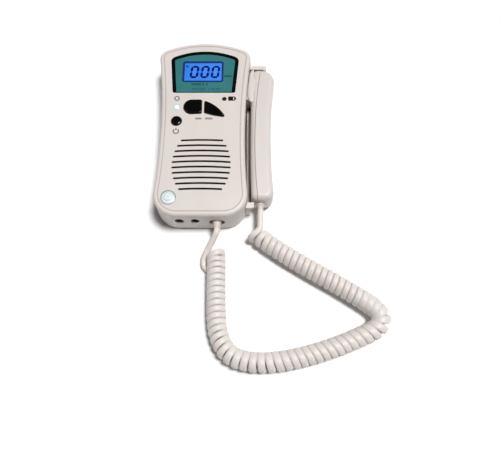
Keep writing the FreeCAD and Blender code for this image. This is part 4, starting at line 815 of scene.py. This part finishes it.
@dataclass
class Display:
    """The framed window: lens, trim, LCD and its digits."""

    digit_width: float = 5.3 * MM
    digit_height: float = 11.0 * MM
    stroke: float = 2.15 * MM
    gap: float = 0.12 * MM
    slant: float = 0.125
    places: tuple[float, ...] = (-7.5 * MM, 1.8 * MM, 11.0 * MM)
    drop: float = 0.05 * MM
    zero: tuple[Segment, ...] = tuple(segment for segment in Segment if segment is not Segment.MIDDLE)
    pulse_at: Place = (-14.2 * MM, 5.9 * MM)
    pulse_size: Place = (2.6 * MM, 2.4 * MM)
    pulse_corner: float = 1.1 * MM
    film: float = 0.05 * MM
    lip_width: float = 0.75 * MM
    frame_width: float = 0.5 * MM
    frame_corner: float = 1.8 * MM
    ground_inset: float = 0.35
    # printed marks, in millimetres about the casing's centreline; a bar is its width, height and corner
    dash_at: Place = (20.4, 46.9)
    dash: Bar = (7.2, 1.0, 0.4)
    caption_y: float = 38.4
    bars: int = 9
    bars_from: float = -10.9
    bar_pitch: float = 0.95
    bar: Bar = (0.6, 1.7, 0.2)
    dots_x: tuple[float, ...] = (-0.9, 2.4)
    dot: Bar = (1.5, 1.3, 0.5)
    shade_y: float = 33.4
    shades: tuple[Place, ...] = ((-7.9, 5.2), (-1.9, 5.2), (4.6, 1.4), (8.0, 2.6), (12.2, 3.6))

    def stroke_outline(self, segment: Segment, center: Place) -> list[Place]:
        """One pointed stroke of a digit, slanted as the digit is.

        Args:
            segment: which stroke.
            center: the digit's middle in plan.

        Returns:
            Its outline, anticlockwise.
        """
        start, end = (Vector(((x - 0.5) * self.digit_width, (y - 1) * self.digit_height / 2))
                      for x, y in segment.value)
        half = self.stroke / 2
        along = (end - start).normalized()
        across = Vector((-along.y, along.x))
        start += along * self.gap
        end -= along * self.gap
        corners = (start, start + (along - across) * half, end - (along + across) * half, end,
                   end - (along - across) * half, start + (along + across) * half)
        return [(center[0] + p.x + p.y * self.slant, center[1] + p.y) for p in corners]

    def digits(self) -> None:
        """The three zeros with a paler patch of the lit panel inside each, and the pulse mark."""
        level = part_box("lcd_glass")[1].z
        center = middle("lcd_glass")
        navy = PolishedPlastic("digit_navy", (0.0005, 0.006, 0.155), (0.001, 0.009, 0.19), 0.12, 0.0).make()
        lilac = Backlit("digit_ground", (0.035, 0.15, 0.53), (0.045, 0.165, 0.56)).make()
        blue = PolishedPlastic("pulse_blue", (0.010, 0.05, 0.42), (0.014, 0.06, 0.47), 0.3, 0.1).make()
        half_w = self.digit_width / 2 - self.stroke * self.ground_inset
        half_h = self.digit_height / 2 - self.stroke * self.ground_inset
        corners = ((-half_w, -half_h), (half_w, -half_h), (half_w, half_h), (-half_w, half_h))
        strokes: Outlines = []
        grounds: Outlines = []
        for place in self.places:
            at = (center.x + place, center.y - self.drop)
            strokes += [self.stroke_outline(segment, at) for segment in self.zero]
            grounds.append([(at[0] + x + y * self.slant, at[1] + y) for x, y in corners])
        pulse = rounded_box((center.x + self.pulse_at[0], center.y + self.pulse_at[1]), *self.pulse_size,
                            self.pulse_corner)
        prisms("lcd_digits", strokes, level, level + self.film, navy)
        prisms("lcd_digit_ground", grounds, level, level + self.film / 2, lilac)
        prisms("lcd_pulse_mark", [pulse], level, level + self.film, blue)

    def lens_marks(self) -> None:
        """The fine dash beside the LCD and the plain bars in the captions' places under it."""
        ink = Ink("lens_ink", (0.006, 0.035, 0.04), (0.010, 0.05, 0.055), 0.05).make()
        faint = Ink("lens_ink_faint", (0.022, 0.115, 0.125), (0.026, 0.13, 0.14), 0.1).make()
        bars_x = [self.bars_from + self.bar_pitch * k for k in range(self.bars)]
        caption = [mark((x, self.caption_y), self.bar) for x in bars_x]
        caption += [mark((x, self.caption_y), self.dot) for x in self.dots_x]
        shades = [mark((x, self.shade_y), (width, 1.9, 0.4)) for x, width in self.shades]
        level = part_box("display_lens")[1].z
        for name, outlines, material in (
                ("lens_dash", [mark(self.dash_at, self.dash, 6)], ink),
                ("lens_caption_bars", caption, ink),
                ("lens_caption_shade", shades, faint)):
            prisms(name, outlines, level, level + self.film, material)

    def lip(self, material: Material) -> None:
        """The trim's thin flange, which laps onto the face all round.

        Args:
            material: the trim's finish.
        """
        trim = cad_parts["window_trim"]
        points = [trim.matrix_world @ vertex.co for vertex in trim.data.vertices]
        top = max(point.z for point in points)
        rim = [point.to_2d() for point in points if point.z > top - TOUCH]
        edge = [rim[index] for index in geometry.convex_hull_2d(rim)]
        if sum(a.x * b.y - b.x * a.y for a, b in zip(edge, edge[1:] + edge[:1])) < 0:
            edge.reverse()
        outer = []
        for before, here, after in zip(edge[-1:] + edge[:-1], edge, edge[1:] + edge[:1]):
            along = ((here - before).normalized() + (after - here).normalized()).normalized()
            outer.append(here + Vector((along.y, -along.x)) * self.lip_width)
        prisms("window_trim_lip", between(edge, outer), FACE_Z - TOUCH, top - TOUCH / 2, material)

    def lcd_frame(self, material: Material) -> None:
        """The navy line printed on the lens round the LCD's bezel.

        Args:
            material: its finish.
        """
        low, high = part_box("lcd_bezel")
        center = ((low.x + high.x) / 2, (low.y + high.y) / 2)
        inner, outer = (rounded_box(center, high.x - low.x + 2 * wide, high.y - low.y + 2 * wide,
                                    self.frame_corner + wide) for wide in (0.0, self.frame_width))
        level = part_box("display_lens")[1].z
        prisms("lcd_frame_line", between(inner, outer), level, level + self.film / 2, material)

    def dress(self) -> None:
        """Give the lens, its trim and the LCD their finishes."""
        black = PolishedPlastic("trim_black", (0.002, 0.002, 0.002), (0.004, 0.004, 0.005), 0.16, 0.2).make()
        navy = PolishedPlastic("bezel_navy", (0.001, 0.024, 0.145), (0.002, 0.030, 0.175), 0.3, 0.15).make()
        teal = PolishedPlastic("lens_teal", (0.037, 0.180, 0.190), (0.046, 0.205, 0.210), 0.14).make()
        dress(black, "window_trim")
        dress(teal, "display_lens")
        dress(navy, "lcd_bezel")
        dress(Backlit("lcd_backlit", (0.014, 0.125, 0.49), (0.030, 0.150, 0.53)).make(), "lcd_glass")
        dress(MouldedPlastic("diffuser", (0.75, 0.78, 0.80), 0.5).make(), "backlight_panel")
        self.lip(black)
        self.lcd_frame(navy)
        self.digits()
        self.lens_marks()


# ---------------------------------------------------------------- controls

@dataclass
class ControlPanel:
    """Buttons, lamps, badge and the small printed symbols round them, in millimetres about the centreline."""

    film: float = 0.04 * MM
    ring_at: Place = (-23.0, 23.8)
    ring_edges: Place = (1.45, 2.35)
    power_symbol_at: Place = (-22.3, -8.5)
    power_edges: Place = (1.75, 2.7)
    power_arc: Place = (130, 410)
    power_stroke: Bar = (0.9, 2.4, 0.3)
    power_stroke_up: float = 1.9
    battery_at: Place = (24.0, 23.6)
    battery_size: Place = (5.5, 4.3)
    battery_line: float = 0.85
    captions: tuple[Place, ...] = ((-6.6, -1.2), (1.8, 8.1))
    caption_y: float = 3.75
    caption_pitch: float = 0.95
    caption_bar: Bar = (0.66, 1.9, 0.2)
    ink_grey: Colour = (0.115, 0.100, 0.090)

    def power_symbol(self) -> Outlines:
        """A broken ring with an upright stroke in its gap.

        Returns:
            One outline per quad, and the stroke's.
        """
        x, y = self.power_symbol_at
        stroke = mark((x, y + self.power_stroke_up), self.power_stroke, 6)
        return arc_band((x, y), *self.power_edges, *self.power_arc) + [stroke]

    def battery_symbol(self) -> Outlines:
        """A cell: a filled end, an empty end and a nub.

        Returns:
            One outline per bar.
        """
        x, y = self.battery_at
        width, height = self.battery_size
        line = self.battery_line
        bars = (((x, y + (height - line) / 2), (width, line, 0.2)),
                ((x, y - (height - line) / 2), (width, line, 0.2)),
                ((x + width / 2, y), (line, height * 0.9, 0.2)),
                ((x + width / 2 + line, y), (line, height * 0.45, 0.2)),
                ((x - width * 0.13, y), (width * 0.78, height, 0.8)))
        return [mark(at, bar, 6) for at, bar in bars]

    def caption_bars(self) -> Outlines:
        """Plain upright strokes in the captions' places under the pair of buttons.

        Returns:
            One outline per stroke.
        """
        bars = []
        for start, end in self.captions:
            count = round((end - start) / self.caption_pitch)
            bars += [mark((start + (end - start) * (k + 0.5) / count, self.caption_y), self.caption_bar)
                     for k in range(count)]
        return bars

    def print_marks(self) -> None:
        """Print the symbols on the face."""
        grey = Ink("symbol_grey", self.ink_grey, (0.165, 0.145, 0.130)).make()
        black = Ink("symbol_black", (0.004, 0.004, 0.004), (0.010, 0.009, 0.008), 0.1).make()
        for name, outlines, ink in (
                ("ring_symbol", arc_band(self.ring_at, *self.ring_edges), grey),
                ("power_symbol", self.power_symbol(), grey),
                ("caption_bars", self.caption_bars(), grey),
                ("battery_symbol", self.battery_symbol(), black)):
            prisms(name, outlines, FACE_Z, FACE_Z + self.film, ink)

    def dress(self) -> None:
        """Give buttons, lamps, badge and keypad their finishes."""
        black = PolishedPlastic("button_black", (0.002, 0.002, 0.002), (0.004, 0.004, 0.004), 0.13, 0.3)
        lamp = Lamp("power_lamp", *crown("power_light_lens"), (0.88, 1.0, 1.0), (0.44, 0.53, 0.55), 0.25)
        smoke = PolishedPlastic("smoked_lens", (0.010, 0.008, 0.010), (0.03, 0.02, 0.02))
        dress(black.make(), "power_button", "left_button", "right_button")
        dress(lamp.make(), "power_light_lens")
        dress(smoke.make(), "status_light_lens")
        dress(PearlEnamel("badge_pearl", *crown("badge")).make(), "badge")
        dress(SoftRubber("keypad_rubber", (0.12, 0.12, 0.12)).make(), "keypad_mat")
        dress(PolishedPlastic("chip_cream", (0.7, 0.66, 0.5), (0.8, 0.76, 0.6)).make(), "light_chips")
        self.print_marks()


# ---------------------------------------------------------------- inner works

@dataclass
class InnerWorks:
    """Boards, speaker and sockets, seen through the openings or with the casing taken apart."""

    cloth_gap: float = 0.1 * MM
    cloth_thickness: float = 0.25 * MM
    cloth_rings: int = 12
    cloth_sides: int = 96

    def grille_cloth(self) -> None:
        """A disc of acoustic cloth stretched over the speaker's gasket."""
        center, radius = crown("speaker_gasket")
        top = center.z - self.cloth_gap
        radius -= 2 * self.cloth_gap
        reaches = [radius * ring / self.cloth_rings for ring in range(1, self.cloth_rings + 1)]
        rings = [(reach, top - self.cloth_thickness) for reach in reaches]
        rings += [(reach, top) for reach in reversed(reaches)]
        points = []
        for reach, level in rings:
            for k in range(self.cloth_sides):
                angle = 2 * math.pi * k / self.cloth_sides
                points.append((center.x + reach * math.cos(angle), center.y + reach * math.sin(angle), level))
        faces = tube_faces(len(rings), self.cloth_sides)
        settle(mesh_piece("grille_cloth", points, faces, WovenCloth("acoustic_cloth").make()))

    def dress(self) -> None:
        """Give the inner pieces their finishes."""
        dress(CircuitBoard("solder_mask").make(), "main_board", "port_board", "probe_board")
        dress(MouldedPlastic("socket_black", (0.012, 0.012, 0.013), 0.5).make(), "earphone_jack_left",
              "earphone_jack_right", "probe_socket", "probe_plug", "speaker_basket")
        dress(MouldedPlastic("chip_black", (0.02, 0.02, 0.021), 0.55).make(), "board_chips")
        dress(SoftRubber("cone_paper", (0.03, 0.028, 0.026), 2400.0).make(), "speaker_cone")
        dress(SoftRubber("gasket_foam", (0.02, 0.02, 0.02)).make(), "speaker_gasket")
        dress(PlatedMetal("magnet_steel", (0.45, 0.44, 0.43)).make(), "speaker_magnet")
        self.grille_cloth()


# ---------------------------------------------------------------- probe

@dataclass
class Probe:
    """The parked ultrasound probe."""

    ivory: Colour = (0.690, 0.632, 0.598)
    bulge_from: float = 23.0 * MM
    bulge_to: float = 57.5 * MM
    bulge_foot: float = 22.3 * MM
    bulge_rise: float = 2.3 * MM
    bulge_outer: float = 43.6 * MM
    bulge_taper: float = 1.5 * MM
    bulge_taper_share: float = 0.28
    bulge_draw: float = 3.0 * MM
    bulge_end: float = 0.35
    bulge_rows: int = 28
    bulge_turns: int = 14
    # the cheek's inner side follows the casing's waist, in millimetres
    waist_side: float = 35.85
    waist_y: float = -12.0
    waist_curve: float = 1220.0

    def sensor_bulge(self, material: Material) -> None:
        """The rounded cheek of the sensor head, which fills the gap between the probe and the casing's side.

        Args:
            material: its finish.
        """
        points = []
        for row in range(self.bulge_rows + 1):
            share = row / self.bulge_rows
            y = self.bulge_from + (self.bulge_to - self.bulge_from) * share
            swell = (1 - abs(2 * share - 1) ** 5) ** 0.5
            inner = (self.waist_side + (y / MM - self.waist_y) ** 2 / self.waist_curve) * MM
            inner += (1 - swell) * self.bulge_draw
            inner += max(0.0, 1 - share / self.bulge_taper_share) ** 1.6 * self.bulge_taper
            for turn in range(self.bulge_turns + 1):
                angle = math.pi * turn / self.bulge_turns
                x = (inner + self.bulge_outer) / 2 - (self.bulge_outer - inner) / 2 * math.cos(angle)
                rise = math.sin(angle) ** 0.85 if 0 < turn < self.bulge_turns else 0.0
                rise *= self.bulge_rise * (self.bulge_end + (1 - self.bulge_end) * swell)
                points.append((AXIS_X + x, y, self.bulge_foot + rise))
        faces = tube_faces(self.bulge_rows + 1, self.bulge_turns + 1)
        settle(mesh_piece("sensor_bulge", points, faces, material, smooth=True), PROBE)

    def dress(self) -> None:
        """Give the probe's shells, sensor and inner pieces their finishes."""
        ivory = MouldedPlastic("probe_ivory", self.ivory).make()
        resin = PolishedPlastic("sensor_resin", (0.62, 0.56, 0.49), (0.66, 0.60, 0.53), 0.25, 0.2).make()
        self.sensor_bulge(ivory)
        dress(ivory, "probe_inner_shell", "probe_outer_shell")
        dress(resin, "sensor_face")
        dress(MouldedPlastic("fired_ceramic", (0.70, 0.66, 0.55), 0.6).make(), "piezo_crystal")
        dress(SoftRubber("backing_resin", (0.02, 0.02, 0.02)).make(), "crystal_backing")


# ---------------------------------------------------------------- cord

@dataclass(frozen=True)
class Station:
    """One ring of a swept cord: its centre, the way its flat side faces and half its width and thickness."""

    point: Vector
    out: Vector
    half_width: float
    half_height: float
    round_over: float = 0.9


@dataclass(frozen=True)
class Coil:
    """A run of turns: its middle line and tables over shares of that line's length.

    The pitch is turn to turn. The lean is how far a turn's top lies behind its foot, and the skew how far
    its near side lies ahead of its far side. The spread is how much wider the strand is pressed.
    """

    route: Route
    pitch: Table
    skew: Table
    spread: Table
    lean: Table = ((0.0, 0.0),)


def spline_line(points: Route, steps: int = 24) -> list[Vector]:
    """A smooth line with the route's points as its control points.

    Args:
        points: the route, in metres about the casing's centreline.
        steps: how finely the line is cut between two points.

    Returns:
        Points along the line, in the frame.
    """
    curve = bpy.data.curves.new("route", "CURVE")
    curve.dimensions = "3D"
    curve.resolution_u = steps
    spline = curve.splines.new("NURBS")
    spline.points.add(len(points) - 1)
    for knot, (x, y, z) in zip(spline.points, points):
        knot.co = (x + AXIS_X, y, z, 1.0)
    spline.order_u = 3
    spline.use_endpoint_u = True
    holder = bpy.data.objects.new("route", curve)
    mesh = bpy.data.meshes.new_from_object(holder)
    line = [vertex.co.copy() for vertex in mesh.vertices]
    bpy.data.objects.remove(holder)
    bpy.data.meshes.remove(mesh)
    bpy.data.curves.remove(curve)
    return line


def lengths_along(line: Sequence[Vector]) -> list[float]:
    """How far along the line each of its points lies.

    Args:
        line: the line's points.

    Returns:
        One distance per point.
    """
    distances = [0.0]
    for before, after in zip(line, line[1:]):
        distances.append(distances[-1] + (after - before).length)
    return distances


def at_length(line: Sequence[Vector], distances: Sequence[float], distance: float) -> tuple[Vector, Vector]:
    """The point and the heading at a distance along a line.

    Args:
        line: the line's points.
        distances: how far along each lies.
        distance: where to look.

    Returns:
        The point and the unit heading there.
    """
    index = 0
    while index < len(distances) - 2 and distances[index + 1] < distance:
        index += 1
    share = (distance - distances[index]) / (distances[index + 1] - distances[index])
    heading = (line[index + 1] - line[index]).normalized()
    return line[index].lerp(line[index + 1], share), heading


def table_value(table: Table, at: float) -> float:
    """A value read smoothly from a short table, which holds its end values beyond its ends.

    Args:
        table: places and values.
        at: the place to read it at.

    Returns:
        The value there.
    """
    if at <= table[0][0]:
        return table[0][1]
    for (left, low), (right, high) in zip(table, table[1:]):
        if at <= right:
            share = (at - left) / (right - left)
            return low + (high - low) * share * share * (3 - 2 * share)
    return table[-1][1]


def swept(name: str, stations: Sequence[Station], sides: int, material: Material) -> Piece:
    """A closed tube through the stations, with a rounded-oval section.

    Args:
        name: the piece's name.
        stations: its rings, in order.
        sides: corners of each ring.
        material: its finish.

    Returns:
        The tube.
    """
    points: list[Vector] = []
    for index, station in enumerate(stations):
        before = stations[max(index - 1, 0)].point
        after = stations[min(index + 1, len(stations) - 1)].point
        heading = (after - before).normalized()
        out = (station.out - heading * station.out.dot(heading)).normalized()
        side = heading.cross(out)
        for k in range(sides):
            angle = 2 * math.pi * k / sides
            across, up = (math.copysign(abs(part) ** station.round_over, part)
                          for part in (math.cos(angle), math.sin(angle)))
            points.append(station.point + side * across * station.half_width + out * up * station.half_height)
    return mesh_piece(name, points, tube_faces(len(stations), sides), material, smooth=True)


@dataclass
class CurlyCord:
    """The curly cord from the casing's socket to the probe, in two pieces that meet past the right bend."""

    radius: float = 2.4 * MM
    coil_middle: float = 5.25 * MM
    widest: float = 3.0 * MM
    fill: float = 0.49
    turn_steps: int = 30
    sides: int = 24
    coil_section: float = 0.62
    bridge_rings: int = 10
    first_turn_at: float = 1.0 * MM
    last_turn_ends: float = math.pi / 2 - 0.2
    lead_to_unit: Route = (
        (0.01315, -0.0905, 0.0145), (0.01315, -0.0928, 0.0145), (0.0120, -0.0954, 0.0135),
        (0.0099, -0.0987, 0.0113), (0.0077, -0.1024, 0.0090), (0.0053, -0.1063, 0.0068),
        (0.0031, -0.1103, 0.0047), (0.0020, -0.1143, 0.0031), (0.0022, -0.1182, 0.0025),
        (0.0046, -0.1214, 0.00245), (0.0086, -0.1226, 0.00245),
    )
    from_unit: Coil = Coil(
        route=(
            (0.0125, -0.1097, 0.0077), (0.0132, -0.1310, 0.0077), (0.0133, -0.1540, 0.0077),
            (0.0152, -0.1745, 0.0077), (0.0233, -0.1890, 0.0077), (0.0405, -0.1946, 0.0077),
            (0.0640, -0.1936, 0.0077), (0.0920, -0.1872, 0.0077), (0.1200, -0.1774, 0.0077),
            (0.1404, -0.1679, 0.0077), (0.1410, -0.1556, 0.0077), (0.1310, -0.1490, 0.0077),
        ),
        pitch=((0.0, 4.0 * MM), (0.03, 4.4 * MM), (0.08, 5.0 * MM), (0.30, 4.9 * MM), (0.40, 6.0 * MM),
               (0.50, 6.3 * MM), (0.62, 5.6 * MM), (0.76, 5.6 * MM), (0.86, 6.3 * MM), (0.94, 5.6 * MM),
               (1.0, 5.2 * MM)),
        lean=((0.004, 1.9), (0.015, 0.4), (0.08, 0.34), (0.26, 0.30), (0.38, 0.0)),
        skew=((0.30, 0.0), (0.42, -0.25), (0.55, 0.10), (0.70, 0.22), (0.86, 0.25), (0.95, 0.1), (1.0, 0.0)),
        spread=((0.0, 1.0), (0.006, 1.35), (0.02, 1.3), (0.035, 1.0), (0.90, 1.0), (0.95, 1.22), (1.0, 1.3)),
    )
    to_probe: Coil = Coil(
        route=(
            (0.1310, -0.1490, 0.0077), (0.1130, -0.13712, 0.0077), (0.0860, -0.1214, 0.0077),
            (0.0610, -0.1056, 0.0077), (0.0452, -0.0934, 0.0077),
        ),
        pitch=((0.0, 5.2 * MM), (0.3, 5.0 * MM), (1.0, 5.3 * MM)),
        skew=((0.90, 0.0), (1.0, -0.55)),
        spread=((0.0, 1.3), (0.02, 1.2), (0.05, 1.0)),
    )
    lead_to_probe: Route = (
        (0.0482, -0.0884, 0.0133), (0.0485, -0.0810, 0.0135), (0.0485, -0.0737, 0.0135),
    )

    def helix(self, coil: Coil, start: float, start_angle: float) -> tuple[list[Station], float]:
        """The turns round a coil's middle line.

        Args:
            coil: the coil.
            start: where along the line the turns start.
            start_angle: where round the line they start, in radians from its left side.

        Returns:
            The stations and the angle that the last one lies at.
        """
        line = spline_line(coil.route)
        distances = lengths_along(line)
        whole = distances[-1]
        up = Vector((0, 0, 1))
        stations: list[Station] = []
        distance = start
        angle = start_angle
        while True:
            share = distance / whole
            here, heading = at_length(line, distances, distance)
            near = math.cos(angle)
            high = math.sin(angle)
            out = up.cross(heading).normalized() * near + up * high
            shift = table_value(coil.lean, share) * high + table_value(coil.skew, share) * near
            pitch = table_value(coil.pitch, share)
            half_width = min(self.fill * pitch, self.widest) * table_value(coil.spread, share)
            point = here + (out - heading * shift) * self.coil_middle
            stations.append(Station(point, out, half_width, self.radius, self.coil_section))
            if distance >= whole:
                return stations, angle
            distance = min(distance + pitch / self.turn_steps, whole)
            angle += 2 * math.pi / self.turn_steps

    def fitted(self, coil: Coil, start_angle: float, wanted: float) -> Coil:
        """A coil with its pitch stretched a little, so that its turns end at a wanted angle.

        Args:
            coil: the coil as it is.
            start_angle: where its turns start, in radians.
            wanted: where round the line they should end.

        Returns:
            The stretched coil.
        """
        ended = self.helix(coil, 0.0, start_angle)[1]
        goal = wanted + round((ended - wanted) / (2 * math.pi)) * 2 * math.pi
        scale = (ended - start_angle) / (goal - start_angle)
        return replace(coil, pitch=tuple((place, value * scale) for place, value in coil.pitch))

    def lead(self, line: list[Vector], out: Vector) -> list[Station]:
        """Round stations along a lead that leaves a coil's end ring.

        Args:
            line: the lead's line, from the coil.
            out: which way the ring faces.

        Returns:
            The stations, in the line's order.
        """
        stations: list[Station] = []
        heading = out
        for point, other in zip(line, line[1:] + line[-1:]):
            if (other - point).length > 0:
                heading = (other - point).normalized()
            out = (out - heading * out.dot(heading)).normalized()
            stations.append(Station(point, out, self.radius, self.radius))
        return stations

    def joined(self, first: list[Station], second: list[Station]) -> list[Station]:
        """Two runs of stations joined by a smooth bridge.

        Args:
            first: the run that comes first.
            second: the run that follows.

        Returns:
            All the stations.
        """
        start = first[-1]
        end = second[0]
        span = (end.point - start.point).length
        into = (start.point - first[-2].point).normalized() * span
        away = (second[1].point - end.point).normalized() * span
        bridge = []
        for step in range(1, self.bridge_rings):
            t = step / self.bridge_rings
            ease = t * t * (3 - 2 * t)
            point = (start.point * (1 - ease) + end.point * ease
                     + into * t * (1 - t) ** 2 - away * t ** 2 * (1 - t))
            out = start.out.lerp(end.out, t).normalized()
            width = start.half_width + (end.half_width - start.half_width) * t
            section = start.round_over + (end.round_over - start.round_over) * t
            bridge.append(Station(point, out, width, self.radius, section))
        return first + bridge + second

    def build(self) -> None:
        vinyl = CordVinyl("cord_vinyl", (0.765, 0.715, 0.680), (0.735, 0.685, 0.650)).make()
        turns, angle = self.helix(self.from_unit, self.first_turn_at, -math.pi / 2)
        lead = self.lead(spline_line(self.lead_to_unit)[::-1], turns[0].out)[::-1]
        self.finish_cord("curly_cord_main", self.joined(lead, turns), vinyl,
                         ("cord_lead_unit", "cord_coil_main"))
        turns = self.helix(self.fitted(self.to_probe, angle, self.last_turn_ends), 0.0, angle)[0]
        lead = self.lead(spline_line(self.lead_to_probe), turns[-1].out)
        self.finish_cord("curly_cord_probe", self.joined(turns, lead), vinyl, ("cord_coil_probe", PROBE_LEAD))
        sleeve = CordVinyl("sleeve_vinyl", (0.69, 0.635, 0.585), (0.65, 0.595, 0.55)).make()
        dress(sleeve, "plug_boot", "probe_gland")

    def finish_cord(self, name: str, stations: list[Station], material: Material,
                    nodes: Sequence[str]) -> None:
        """Args:
            name: the piece's name.
            stations: its rings.
            material: its finish.
            nodes: the CAD nodes that it stands for.
        """
        cord = swept(name, stations, self.sides, material)
        if PROBE_LEAD in nodes:
            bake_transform(cord)
        else:
            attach(cord, CASING)
        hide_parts(*nodes)


# ---------------------------------------------------------------- studio

@dataclass
class Studio:
    """Pale floor, soft lights and the camera."""

    floor_half: float = 2.0
    sun_from: tuple[float, float, float] = (0.27, 0.11, 0.955)
    sun_strength: float = 3.4
    sun_width: float = 17.0
    horizon_strength: float = 1.5
    zenith_strength: float = 0.12
    dim_from: float = 0.25
    dim_to: float = 0.72
    glint_place: tuple[float, float, float] = (-0.60, 0.0, 0.70)
    glint_size: float = 0.08
    glint_power: float = 0.5
    camera_place: tuple[float, float, float] = (0.03993, -0.20828, 0.35007)
    camera_tilt: float = 18.59
    lens: float = 31.68

    def floor(self) -> None:
        """A wide white sweep."""
        graph = Graph("studio_paper")
        graph.mottled(3.0, 2.0, (0.3, (0.93, 0.93, 0.93)), (0.7, (0.95, 0.95, 0.95)))
        graph.set(Roughness=0.9)
        half = self.floor_half
        corners = ((-half, -half, 0), (half, -half, 0), (half, half, 0), (-half, half, 0))
        mesh_piece("studio_floor", corners, [(0, 1, 2, 3)], graph.material)

    def surround(self) -> None:
        """A white surround that is bright near the horizon and dim overhead, so that gloss stays deep."""
        world = bpy.data.worlds.new("surround")
        world.use_nodes = True
        tree = world.node_tree
        split = tree.nodes.new("ShaderNodeSeparateXYZ")
        level = tree.nodes.new("ShaderNodeMapRange")
        for name, value in (("From Min", self.dim_from), ("From Max", self.dim_to),
                            ("To Min", self.horizon_strength), ("To Max", self.zenith_strength)):
            level.inputs[name].default_value = value
        tree.links.new(tree.nodes.new("ShaderNodeTexCoord").outputs["Generated"], split.inputs[0])
        tree.links.new(split.outputs["Z"], level.inputs["Value"])
        tree.links.new(level.outputs["Result"], tree.nodes["Background"].inputs["Strength"])
        bpy.context.scene.world = world

    def hang(self, data: bpy.types.Light, place: Vector) -> None:
        """Hang a light at a place, aimed at the floor's middle.

        Args:
            data: the light.
            place: where it hangs.
        """
        lamp = bpy.data.objects.new(data.name, data)
        lamp.location = place
        lamp.rotation_euler = (-place).to_track_quat("-Z", "Y").to_euler()
        bpy.context.scene.collection.objects.link(lamp)

    def lights(self) -> None:
        """A wide sun from high on the far right, and a small soft box whose glint shows in the gloss."""
        sun = bpy.data.lights.new("sun", "SUN")
        sun.energy = self.sun_strength
        sun.angle = math.radians(self.sun_width)
        self.hang(sun, Vector(self.sun_from))
        glint = bpy.data.lights.new("glint", "AREA")
        glint.size = self.glint_size
        glint.energy = self.glint_power
        self.hang(glint, Vector(self.glint_place))

    def camera(self) -> None:
        """The camera, steeply above the near end."""
        data = bpy.data.cameras.new("camera")
        data.lens = self.lens
        data.sensor_width = 36.0
        data.sensor_fit = "HORIZONTAL"
        data.clip_start = 0.01
        camera = bpy.data.objects.new("camera", data)
        camera.location = Vector(self.camera_place) + Vector((AXIS_X, 0, 0))
        camera.rotation_euler = (math.radians(self.camera_tilt), 0, 0)
        bpy.context.scene.collection.objects.link(camera)
        bpy.context.scene.camera = camera
        bpy.context.scene.view_settings.view_transform = "Standard"

    def build(self) -> None:
        """Set up floor, surround, lights and camera."""
        self.floor()
        self.surround()
        self.lights()
        self.camera()


def main() -> None:
    """Dress the whole monitor and set up the studio."""
    logging.basicConfig(level=logging.INFO, format="%(name)s: %(message)s")
    builders: tuple[Callable[[], None], ...] = (
        Studio().build, CurlyCord().build, Casing().dress, Display().dress, ControlPanel().dress,
        InnerWorks().dress, Probe().dress,
    )
    for build in builders:
        build()


if __name__ == "__main__":
    main()
